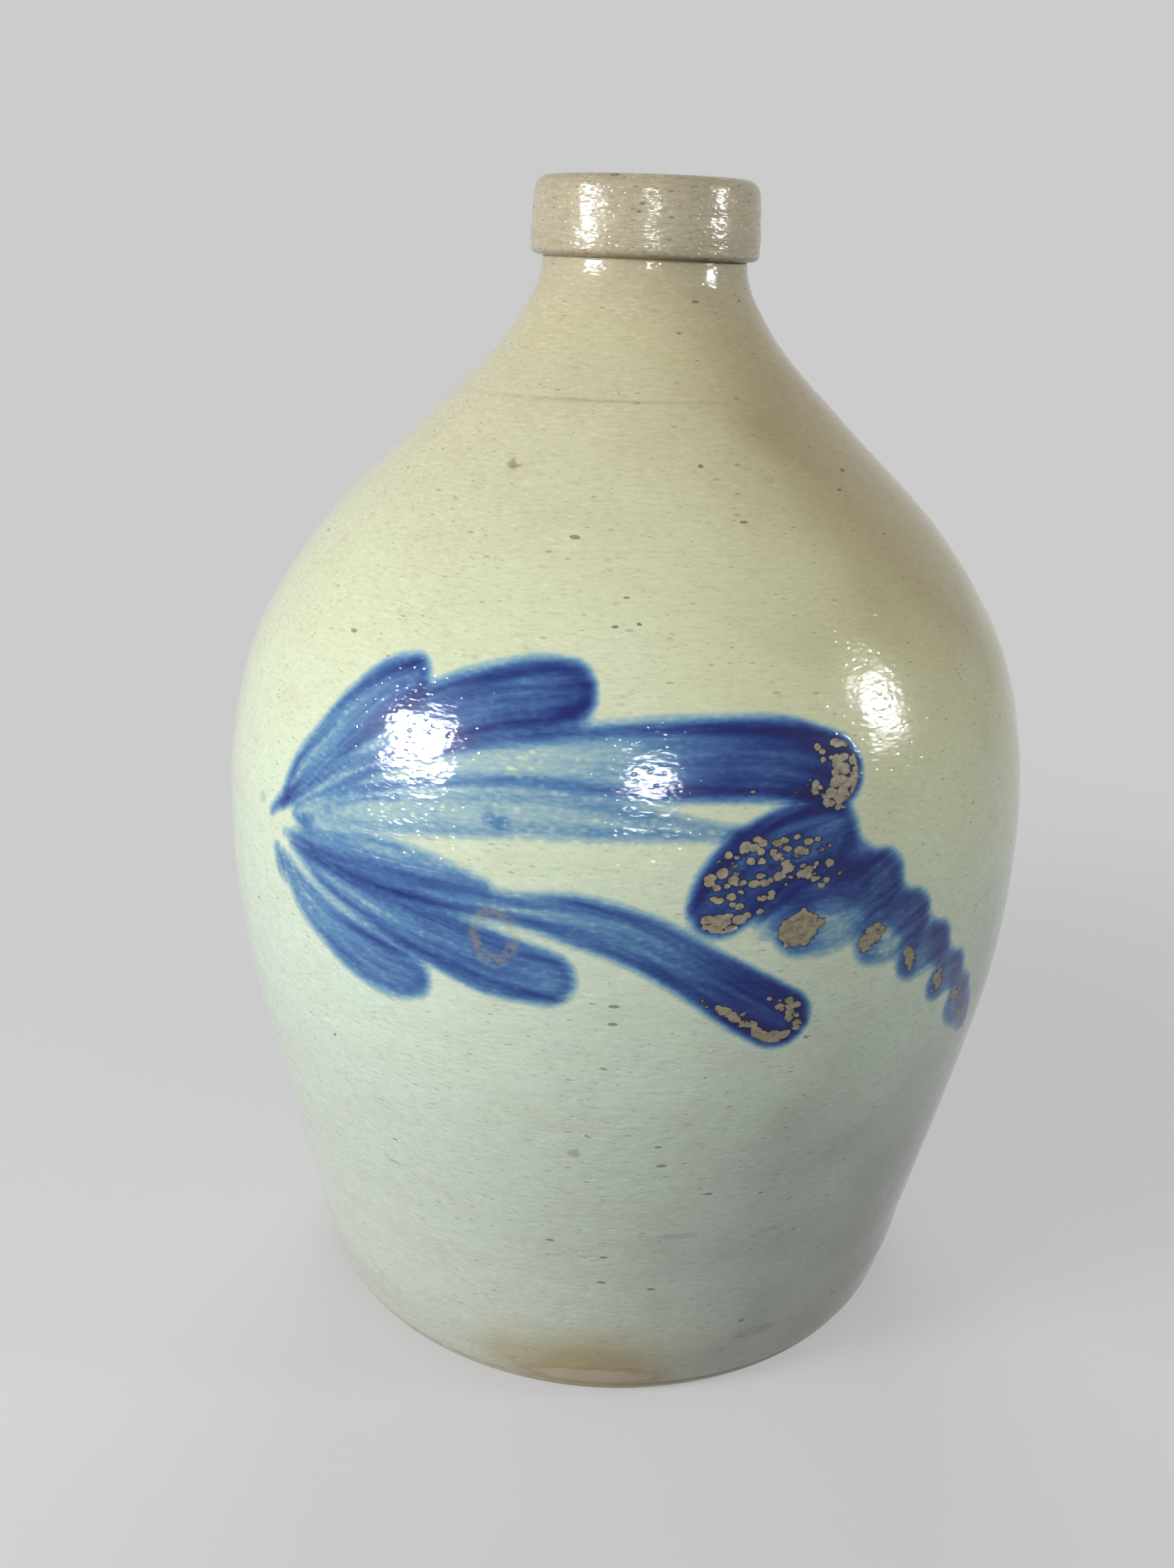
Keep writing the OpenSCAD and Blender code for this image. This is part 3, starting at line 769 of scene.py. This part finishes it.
# %% [markdown]
# ## Effects that the clay pieces share
# Salt glaze draws back into small round pits over soft level ripples, which gives it the skin of
# an orange. The wheel drags grit round the pot in fine level streaks. Iron in the clay melts
# through as dark specks, which the streaks pull sideways. A mark is one ragged spot at a place of
# its own. Each is a group with its own sizes, so the body, the collar and the handle can have more
# or less of it.

# %% Orange peel, wheel streaks, specks and marks
tree, given, result = effect("orange peel", {"Place": "Vector", "Pit": "Float"}, "Height")
orange_peel = tree
flattened = vector(tree, "MULTIPLY", given["Place"], (0.8, 0.8, 1.25))
distance, lot = cells(tree, shrunk(tree, flattened, given["Pit"]), 0.9)
how_deep = maths(tree, "MULTIPLY_ADD", lot, 0.45, 0.4)
pit = maths(tree, "MULTIPLY", step(tree, distance, 0.36, 0.0), how_deep)
ripple = noise(tree, given["Place"], (2.6, 2.6, 1.1), 1.0)
swell = noise(tree, given["Place"], (6.0, 6.0, 4.0), 0.0)
swell = maths(tree, "MULTIPLY_ADD", swell, 1.6, ripple)
feed(tree, result, maths(tree, "MULTIPLY_ADD", pit, -0.9, swell))

tree, given, result = effect(
    "wheel streaks", {"Place": "Vector", "Long": "Float", "Height": "Float"}, "Streak")
wheel_streaks = tree
size = put(tree, "CombineXYZ", {"X": given["Long"], "Y": given["Long"], "Z": given["Height"]})
lines = vector(tree, "DIVIDE", given["Place"], size)
feed(tree, result, noise(tree, lines, (1, 1, 1), 3.0, 0.6))

tree, given, result = effect(
    "iron specks", {"Place": "Vector", "Apart": "Float", "Size": "Float", "Drawn out": "Float"}, "Speck")
iron_specks = tree
squeezed = flatter(tree, given["Place"], given["Drawn out"])
distance, lot = cells(tree, shrunk(tree, squeezed, given["Apart"]))
speck_size = maths(tree, "MULTIPLY", given["Size"], maths(tree, "POWER", lot, 2.0))
far_mm = maths(tree, "MULTIPLY", distance, given["Apart"])
feed(tree, result, step(tree, maths(tree, "SUBTRACT", speck_size, far_mm), -0.06, 0.12))

tree, given, result = effect(
    "mark", {"Place": "Vector", "Middle": "Vector", "Size": "Float", "Flat": "Float"}, "Mark")
mark = tree
ragged = put(tree, "TexNoise", {"Vector": given["Place"], "Scale": 1.1, "Detail": 3.0}, out="Color")
off = flatter(tree, vector(tree, "SUBTRACT", given["Place"], given["Middle"]), given["Flat"])
off = vector(tree, "MULTIPLY_ADD", ragged, (1.6, 1.6, 1.6), off)    # moved up to 0.8 mm each way
off = vector(tree, "SUBTRACT", off, (0.8, 0.8, 0.8))
feed(tree, result, step(tree, maths(tree, "DIVIDE", length(tree, off), given["Size"]), 1.15, 0.55))
print("shared effects:", ", ".join(g.name for g in bpy.data.node_groups))

# %% [markdown]
# ## Salt glaze on grey clay
# The glaze is clear, so its colour is the clay's: cream round the belly, greyer and cooler towards
# the foot, and warmer on the shoulder and neck, where the kiln was hottest. A fine grain of darker
# and paler flecks lies in it, drawn out round the pot: partly the clay's grit, and partly painted
# shade and painted highlights of the glaze's small pebbles. One function makes the finish for every
# clay piece, so that they look made of one clay. It returns what the body's own material still
# adds to: the colour, the streaks and the height.
#
# The glass has two glosses. The sharp one is the melted skin, and a weak soft one round it, the
# shader's coat, is the haze of fine pitting that is too small to model.

# %% A salt-glazed finish
def new_material(name):
    """A material with a Principled shader, its tree, and the place on the piece in mm."""
    material = bpy.data.materials.new(name)
    material.use_nodes = True
    tree = material.node_tree
    place = put(tree, "VectorMath", {0: put(tree, "TexCoord", out="Object"), 3: 1000.0},
                operation="SCALE")
    return material, tree, tree.nodes["Principled BSDF"], place


def clay(tree, place, height_stops, streak_size, streak_strength, warm, streak_place=None):
    """Colour of the glazed clay by height, then streaks, soft patches of warmer clay, and grain.
    Returns the colour, the streaks and the height in mm."""
    height = put(tree, "SeparateXYZ", {0: place}, out="Z")
    base = ramp(tree, maths(tree, "DIVIDE", height, RIM), height_stops)
    long, high = streak_size
    streak = use(tree, wheel_streaks, {"Place": streak_place or place, "Long": long, "Height": high})
    streak = step(tree, streak, 0.32, 0.68)
    base = tint(tree, base, streak, streak_strength, "#6e5c40")
    patches = noise(tree, place, (16, 16, 9), 3.0, 0.6)
    base = tint(tree, base, step(tree, patches, 0.45, 0.75), warm, "#a98a66")
    # The dark and pale flecks are partly the clay's grit and partly painted shade and painted highlights
    # of the glaze's pebbles.
    grain = noise(tree, place, (2.0, 2.0, 0.5), 4.0, 0.66)
    base = tint(tree, base, step(tree, grain, 0.53, 0.72), 0.34, "#8a7c5c")
    base = tint(tree, base, step(tree, grain, 0.48, 0.28), 0.26, "#f2f2e2")
    return base, streak, height


def peppered(tree, place, base, apart, size, drawn_out, strength):
    """The colour with iron specks melted through it."""
    speck = use(tree, iron_specks, {"Place": place, "Apart": apart, "Size": size,
                                    "Drawn out": drawn_out})
    return tint(tree, base, speck, strength, "#3a3226")


def relief(tree, shader, height, depth_mm):
    """Gives the shader a bump of the height, which is from 0 to 1, at a depth in mm."""
    bump = put(tree, "Bump", {"Height": height, "Strength": 1.0, "Distance": depth_mm * 0.001},
               out="Normal")
    feed(tree, shader.inputs["Normal"], bump)


def glass_over(shader):
    """The shader's constants for salt glaze: how it bends light, and its soft second gloss."""
    for name, value in (("IOR", 1.46), ("Coat Weight", 0.16), ("Coat Roughness", 0.36)):
        shader.inputs[name].default_value = value


BODY_BY_HEIGHT = [                          # share of the way from the foot to the rim, colour
    (0.0, "#8d7c60"), (0.006, "#a79c84"), (0.011, "#b2ab97"), (0.014, "#8b8371"),
    (0.019, "#babfb1"), (0.10, "#c3ccbf"), (0.23, "#c1cdc0"), (0.42, "#c8d8c6"),
    (0.57, "#cdd9bc"), (0.70, "#ced3b1"), (0.80, "#cac9a7"), (0.89, "#c0ba98"),
    (0.925, "#b6ae91"), (1.0, "#b5ad90")]
print("clay colours up the body:", " ".join(name for _, name in BODY_BY_HEIGHT))

# %% [markdown]
# ## The painted body
# Cobalt slip under salt glaze is pale blue where it is thin and nearly black where it pools, so
# its depth runs through a ramp of blues. Bristles leave fine lines along each stroke, and the
# melting glaze draws the colour aside in pale beads. Where the slip is thickest it boiled off in
# dry tan blisters, which are round cells: the further they run together, the larger each cell's
# patch, inside a dark crust. Small marks of iron and grit, the painted shade and painted highlight
# of one small dent, and a rusty ring some 10 mm across, as a drop leaves when it dries, are set
# down one by one.

# %% The body's material
MARKS = [                                   # degrees round, mm up, radius, flatness, strength, colour
    (-2.0, 183.3, 0.7, 2.0, 0.8, "#4a3c2c"), (1.3, 183.9, 0.6, 1.6, 0.8, "#3c3226"),
    # The brown spot at -27.8 degrees and the pale crescent at -27.0 are a small dent's painted shade and
    # painted highlight.
    (-39.4, 91.5, 0.7, 1.5, 0.8, "#4a3a28"), (-27.8, 208.7, 1.9, 1.3, 0.6, "#86683c"),
    (-27.0, 209.3, 1.3, 1.4, 0.85, "#cdc9a4"), (-4.4, 77.1, 1.6, 1.2, 0.38, "#6e6444"),
    (-2.7, 82.2, 0.7, 1.6, 0.5, "#5f5438"), (10.6, 53.7, 5.0, 5.0, 0.25, "#6b7182"),
    (24.9, 51.7, 3.5, 5.0, 0.25, "#6b7182"), (27.2, 17.8, 7.5, 4.0, 0.25, "#676a72"),
    (-32.0, 62.0, 2.6, 4.0, 0.3, "#7a7a6c"), (-7.7, 162.7, 0.9, 1.8, 0.7, "#5c4c38"),
    (14.6, 209.8, 0.7, 1.4, 0.75, "#4c3c2a"), (-0.9, 99.2, 0.8, 1.8, 0.7, "#504434"),
    (-54.0, 138.6, 1.8, 1.2, 0.35, "#7c7c6c"), (24.0, 104.0, 0.8, 1.7, 0.7, "#4a4236"),
]
STAIN = (-23.4, -91.2, 126.0)               # the middle of the rusty ring, mm
STAIN_OUTER, STAIN_INNER = 5.2, 4.1         # its radii
DEEPEST = 11.3                              # depth of slip at which the blue is darkest

glazed, tree, shader, place = new_material("salt glaze with cobalt")
base, streak, height = clay(tree, place, BODY_BY_HEIGHT, (5, 0.7), 0.06, 0.10)
value = {name: put(tree, "Attribute", out="Fac", attribute_name=name) for name in fields}

# Painted warm light: the cream turns paler and yellower round the right-hand gloss.
base = tint(tree, base, value["warmth"], 0.3, "#d9ce89")
# A darker tan painted on the right shoulder, towards its edge.
base = tint(tree, base, value["blush"], 0.62, "#8f7650")
# Painted shade: a darker grey over the lower right.
base = tint(tree, base, value["smoke"], 0.66, "#6f716d")
base = tint(tree, base, step(tree, value["toast"], 0.05, 0.9), 0.74, "#a08c56")
scar = swayed(tree, value["scar"], noise(tree, place, (3.5, 3.5, 1.6), 3.0), 0.6)
base = tint(tree, base, step(tree, scar, 0.15, 0.5), 0.42, "#8f6b4b")
base = tint(tree, base, step(tree, scar, 0.38, 0.62), 0.8, "#b5ab92")
# The scratched line is painted darker across the front.
base = tint(tree, base, value["dirt"], 0.4, "#7d6d50")
base = peppered(tree, place, base, 4.0, 0.85, 3.6, 0.34)
base = peppered(tree, place, base, 11.0, 1.15, 2.8, 0.6)
for degrees, up_mm, size_mm, flat, strength, name in MARKS:
    r_mm, turn = float(outline(np.array([up_mm]))[0]), math.radians(degrees)
    middle = (r_mm * math.sin(turn), -r_mm * math.cos(turn), up_mm)
    spot = use(tree, mark, {"Place": place, "Middle": middle, "Size": size_mm, "Flat": flat})
    base = tint(tree, base, spot, strength, name)

stroke_place = put(tree, "CombineXYZ", {"X": value["along"], "Y": value["across"]})
bristle = maths(tree, "SUBTRACT", noise(tree, stroke_place, (20, 2, 1)), 0.5)
bristle = maths(tree, "MULTIPLY", bristle, value["sure"])
slip = maths(tree, "MULTIPLY", value["depth"], maths(tree, "MULTIPLY_ADD", bristle, 1.3, 1.0))
slip = swayed(tree, slip, noise(tree, place, (2.2, 2.2, 0.7)), 2.4)
distance, lot = cells(tree, scaled(tree, place, 2.1, 2.1, 1.3))
beads = maths(tree, "MULTIPLY", step(tree, distance, 0.5, 0.14), lot)
slip = maths(tree, "ADD", maths(tree, "SUBTRACT", slip, beads), 0.14)
bleed = noise(tree, place, (1.6, 1.6, 0.8))
slip = maths(tree, "MULTIPLY", slip, step(tree, swayed(tree, value["edge"], bleed, 0.9), -2.3, 1.7))
blues = ramp(tree, maths(tree, "DIVIDE", slip, DEEPEST), [
    (0.0, "#b6c6b6"), (0.13, "#93b0b6"), (0.28, "#5783a8"), (0.42, "#3d6096"), (0.58, "#24437e"),
    (0.78, "#08226c"), (1.0, "#040f50")])
painted = blend(tree, step(tree, slip, 0.05, 1.3), base, blues)

outer, inner = (use(tree, mark, {"Place": place, "Middle": STAIN, "Size": size_mm, "Flat": 0.8})
                for size_mm in (STAIN_OUTER, STAIN_INNER))
ring = maths(tree, "MULTIPLY", outer, maths(tree, "SUBTRACT", 1.0, inner))
ring = maths(tree, "MULTIPLY", ring, step(tree, bleed, 0.3, 0.6))
painted = tint(tree, painted, ring, 0.68, "#a2944f")

distance, lot = cells(tree, scaled(tree, place, 2.15, 2.15, 1.6))
wander = noise(tree, place, (1.3, 1.3, 1.0))
spread = maths(tree, "SUBTRACT", swayed(tree, value["blister"], lot, 0.3), distance)
spread = swayed(tree, spread, wander, 0.45)
has = maths(tree, "MULTIPLY", step(tree, value["blister"], 0.05, 0.15),
            step(tree, value["edge"], 0.1, 0.8))
dry = maths(tree, "MULTIPLY", step(tree, spread, -0.03, 0.06), has)
crust = maths(tree, "MULTIPLY", step(tree, spread, -0.32, 0.0), has)
painted = tint(tree, painted, crust, 0.8, "#0c1238")
tans = blend(tree, step(tree, wander, 0.25, 0.7), colour("#726852"), colour("#99917a"))
painted = blend(tree, dry, painted, tans)
feed(tree, shader.inputs["Base Color"], painted)

surface = maths(tree, "MULTIPLY_ADD", streak, 0.08, use(tree, orange_peel, {"Place": place, "Pit": 1.8}))
surface = maths(tree, "MULTIPLY_ADD", dry, -1.6, surface)
surface = maths(tree, "MULTIPLY_ADD", step(tree, slip, 0.5, 4.0), 0.4, surface)
relief(tree, shader, surface, 0.10)
bare = step(tree, height, 2.6, 1.2)
rough = maths(tree, "MULTIPLY_ADD", dry, 0.4, maths(tree, "MULTIPLY_ADD", bare, 0.5, 0.09))
feed(tree, shader.inputs["Roughness"], rough)
glass_over(shader)
shader.inputs["Specular IOR Level"].default_value = 0.36
print("body material:", len(tree.nodes), "nodes")

# %% [markdown]
# ## The other clay pieces
# The collar and handle were touched more by hand and flame, so they have browner, stronger streaks
# and more specks. The collar's streaks run round it, as the body's do. The handle never turned on
# the wheel, so its streaks run along it, the way that it was pulled. Its wads share its finish.

# %% Collar, handle and wads
def plain_glaze(name, height_stops, streak_size, streak_strength, warm, pit_mm, depth_mm,
                along_the_pull=False):
    """Salt glaze without paint, for a piece that has its own share of each effect. On the strap
    the streaks run with the pull: their place is then mm along it and mm across it."""
    material, tree, shader, place = new_material(name)
    streak_place = place
    if along_the_pull:
        streak_place = put(tree, "CombineXYZ", {
            "X": put(tree, "Attribute", out="Fac", attribute_name="pulled"),
            "Z": put(tree, "SeparateXYZ", {0: place}, out="X")})
    base, streak, _ = clay(tree, place, height_stops, streak_size, streak_strength, warm, streak_place)
    base = peppered(tree, place, base, 2.4, 0.8, 3.0, 0.34)
    base = peppered(tree, place, base, 6.5, 1.15, 2.4, 0.55)
    feed(tree, shader.inputs["Base Color"], base)
    peel = use(tree, orange_peel, {"Place": place, "Pit": pit_mm})
    relief(tree, shader, maths(tree, "MULTIPLY_ADD", streak, 0.3, peel), depth_mm)
    feed(tree, shader.inputs["Roughness"], maths(tree, "MULTIPLY_ADD", peel, 0.05, 0.08))
    glass_over(shader)
    return material


# The collar below its seat is painted dark brown: painted shade under its sharp lower edge.
collar_glaze = plain_glaze("salt glaze on the collar", [(0.0, "#5f503a"), (0.9378, "#5f503a"),
    (0.941, "#aea68b"), (0.97, "#b6ad93"), (1.0, "#afa488")], (7, 1.0), 0.16, 0.22, 1.4, 0.20)
handle_glaze = plain_glaze("salt glaze on the handle", [(0.0, "#cbd0b0"), (0.68, "#cbceac"),
    (0.80, "#c8c6a4"), (0.89, "#beb897"), (1.0, "#b6ae91")], (14, 1.4), 0.12, 0.10, 1.6, 0.17,
    along_the_pull=True)
for piece, material in ((jug_body, glazed), (collar, collar_glaze), (strap, handle_glaze),
                        (neck_wad, handle_glaze), (shoulder_wad, handle_glaze)):
    piece.data.materials.append(material)
    print(f"{piece.name} has {material.name}")

# %% [markdown]
# ## Lining and cork
# Salt never reached the inside, so the potter rinsed it with a brown clay slip that melts to a
# shiny, runny brown. It is the CAD's own piece with a new material. Cork is warm tan, with pale
# grain and dark pores.

# %% Brown slip and cork
slip_brown, tree, shader, place = new_material("brown slip")
runs = noise(tree, place, (5, 5, 22), 4.0)
feed(tree, shader.inputs["Base Color"],
     ramp(tree, runs, [(0.3, "#24130a"), (0.55, "#43250f"), (0.75, "#6b4420")]))
feed(tree, shader.inputs["Roughness"], maths(tree, "MULTIPLY_ADD", runs, 0.25, 0.08))
relief(tree, shader, runs, 0.3)
lining = frame["nodes"]["slip_lining"]
lining.data.materials.clear()
lining.data.materials.append(slip_brown)

bark, tree, shader, place = new_material("cork bark")
grain = noise(tree, place, (1.6, 1.6, 2.6), 5.0, 0.65)
pores = use(tree, iron_specks, {"Place": place, "Apart": 3.0, "Size": 1.3, "Drawn out": 1.6})
bark_colour = ramp(tree, grain, [(0.3, "#8a6238"), (0.5, "#b98c5a"), (0.72, "#d0ab78")])
feed(tree, shader.inputs["Base Color"], tint(tree, bark_colour, pores, 0.8, "#3b2414"))
feed(tree, shader.inputs["Roughness"], maths(tree, "MULTIPLY_ADD", grain, 0.2, 0.65))
relief(tree, shader, maths(tree, "MULTIPLY_ADD", pores, -0.8, grain), 0.35)
cork.data.materials.append(bark)
print(f"{lining.name} has {slip_brown.name}, {cork.name} has {bark.name}")

# %% [markdown]
# ## Say what each piece is
# The jug is one rigid body, and the cork is another that slides out of the mouth. Each new piece
# rides on its body and stands for its CAD node, which is hidden.

# %% Ride and replace
for piece, body, node, finish in (
        (jug_body, "jug", "jug_body", "salt_glaze"), (collar, "jug", "mouth_collar", "salt_glaze"),
        (strap, "jug", "strap_handle", "salt_glaze"), (neck_wad, "jug", "upper_wad", "salt_glaze"),
        (shoulder_wad, "jug", "lower_wad", "salt_glaze"), (cork, "cork", "cork_stopper", "cork")):
    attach(piece, body)
    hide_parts(node)
    print(f"{piece.name} stands for {node} on {body}")

# %% [markdown]
# ## Floor and light
# The jug stands on a round sheet of pale paper, so wide that its edge is never seen. The paper
# keeps the jug's shadow, and it has some light of its own where a camera looks at it, so it is
# pale without more light on the jug. Away from the jug it fades into one even tone. The world
# beyond has that tone too, so there is no horizon from any side.

# %% A wide sheet of paper
FAR_TONE = 0.60                             # how light the far paper and the world look, 1 is white
OWN_LIGHT = 0.36                            # of the paper near the jug
FADE_FROM, FADE_TO = 170.0, 480.0           # mm from the jug's axis


def round_sheet(name, radius):
    """One flat face through 96 points on a circle: radius * (cos a, sin a, 0), in metres."""
    a = np.radians(np.arange(0, 360, 3.75))
    points = radius * np.stack([np.cos(a), np.sin(a), 0 * a], axis=-1)
    mesh = bpy.data.meshes.new(name)
    mesh.from_pydata(points.tolist(), [], [list(range(len(a)))])
    sheet = bpy.data.objects.new(name, mesh)
    bpy.context.scene.collection.objects.link(sheet)
    return sheet


def looked_at(tree):
    """1 for a ray from the camera, or one that a gloss or a glass sends on, and 0 for the rest."""
    rays = put(tree, "LightPath").node.outputs
    straight_or_gloss = maths(tree, "MAXIMUM", rays["Is Camera Ray"], rays["Is Glossy Ray"])
    return maths(tree, "MAXIMUM", straight_or_gloss, rays["Is Transmission Ray"])


paper = round_sheet("paper_floor", 14.0)
matt, tree, shader, place = new_material("pale paper")
looks = looked_at(tree)
feed(tree, shader.inputs["Base Color"], blend(tree, looks, colour("#727272"), colour("#8c8c8c")))
feed(tree, shader.inputs["Emission Strength"], maths(tree, "MULTIPLY", looks, OWN_LIGHT))
for name, number in (("Emission Color", (1, 1, 1, 1)), ("Roughness", 0.9), ("Specular IOR Level", 0.1)):
    shader.inputs[name].default_value = number
faded = maths(tree, "MULTIPLY", looks, step(tree, length(tree, place), FADE_FROM, FADE_TO))
far_paper = put(tree, "Emission", {"Color": (1, 1, 1, 1), "Strength": FAR_TONE})
feed(tree, tree.nodes["Material Output"].inputs["Surface"],
     put(tree, "MixShader", {0: faded, 1: shader.outputs[0], 2: far_paper}))
paper.data.materials.append(matt)
print(f"{paper.name} fades from {FADE_FROM:.0f} to {FADE_TO:.0f} mm")

# %% [markdown]
# The world is a plain even light, weak on the jug, so that the lamps shape it. Rays that look
# straight at it, or bounce off gloss, see the far paper's tone.
#
# Glaze shows its lamps as sparkles, so the lamps come in three kinds. Three soft ones round the
# room light the clay and are kept out of the glaze. Three small windows stand where the jug's
# sparkles are: on the left and in the middle of the painting, and right of it. A larger shine round
# each window is seen by gloss alone, which scatters the sparkles' edges. The right window has a
# hood and looks at the shoulder, so the jug's lower right stays dim.

# %% World and lamps
DIM_SKY = 0.17                              # what the world gives the jug
world = bpy.data.worlds.new("studio")
world.use_nodes = True
bpy.context.scene.world = world
tree = world.node_tree
sky = tree.nodes["Background"]
sky.inputs["Color"].default_value = (1, 1, 1, 1)
feed(tree, sky.inputs["Strength"],
     put(tree, "MapRange", {"Value": looked_at(tree), "To Min": DIM_SKY, "To Max": FAR_TONE}))


def lamp(name, place, wide, high, power, aim=(0, 0, 0.14), in_glass=True, on_clay=True, hood=180):
    """An area lamp of a size in metres, turned to aim at a point of the jug. A hood narrows its
    beam to that many degrees. The lamp would squeeze its power into the beam, and grow brighter
    by tan h / (tan h - h) for half the beam h, so the power is divided by that."""
    light = bpy.data.lights.new(name, "AREA")
    light.shape, light.size, light.size_y = "RECTANGLE", wide, high
    half = math.radians(hood) / 2
    light.spread = 2 * half
    light.energy = power * (1 - half / math.tan(half)) if hood < 180 else power
    made = bpy.data.objects.new(name, light)
    made.location = place
    made.rotation_euler = (Vector(aim) - Vector(place)).to_track_quat("-Z", "Y").to_euler()
    made.visible_camera, made.visible_glossy, made.visible_diffuse = False, in_glass, on_clay
    bpy.context.scene.collection.objects.link(made)


def round_the_jug(azimuth, elevation, distance, z=0.17):
    """A place at an azimuth from the front towards the right, seen from a height on the jug."""
    a, e = math.radians(azimuth), math.radians(elevation)
    return (distance * math.sin(a) * math.cos(e), -distance * math.cos(a) * math.cos(e),
            z + distance * math.sin(e))


lamp("soft_left", round_the_jug(-62, 14, 1.5), 0.8, 0.4, 6.0, in_glass=False)
lamp("soft_top", round_the_jug(-18, 40, 1.3), 0.7, 0.7, 2.4, in_glass=False)
lamp("soft_back", round_the_jug(182, 30, 1.6), 0.9, 0.7, 13.0, in_glass=False)
lamp("window_left", round_the_jug(-57, 12, 0.9), 0.235, 0.175, 5.0)
lamp("window_middle", round_the_jug(7, 12.5, 0.9), 0.12, 0.09, 1.1)
lamp("window_right", round_the_jug(78, 20, 0.9), 0.14, 0.15, 3.5, aim=(0, 0, 0.22), hood=50)
lamp("shine_left", round_the_jug(-57, 12, 0.88), 0.28, 0.24, 8.0, on_clay=False)
lamp("shine_middle", round_the_jug(7, 12.5, 0.88), 0.17, 0.15, 1.5, on_clay=False)
lamp("shine_right", round_the_jug(78, 20, 0.88), 0.20, 0.28, 2.0, on_clay=False)
bpy.context.scene.view_settings.view_transform = "Standard"
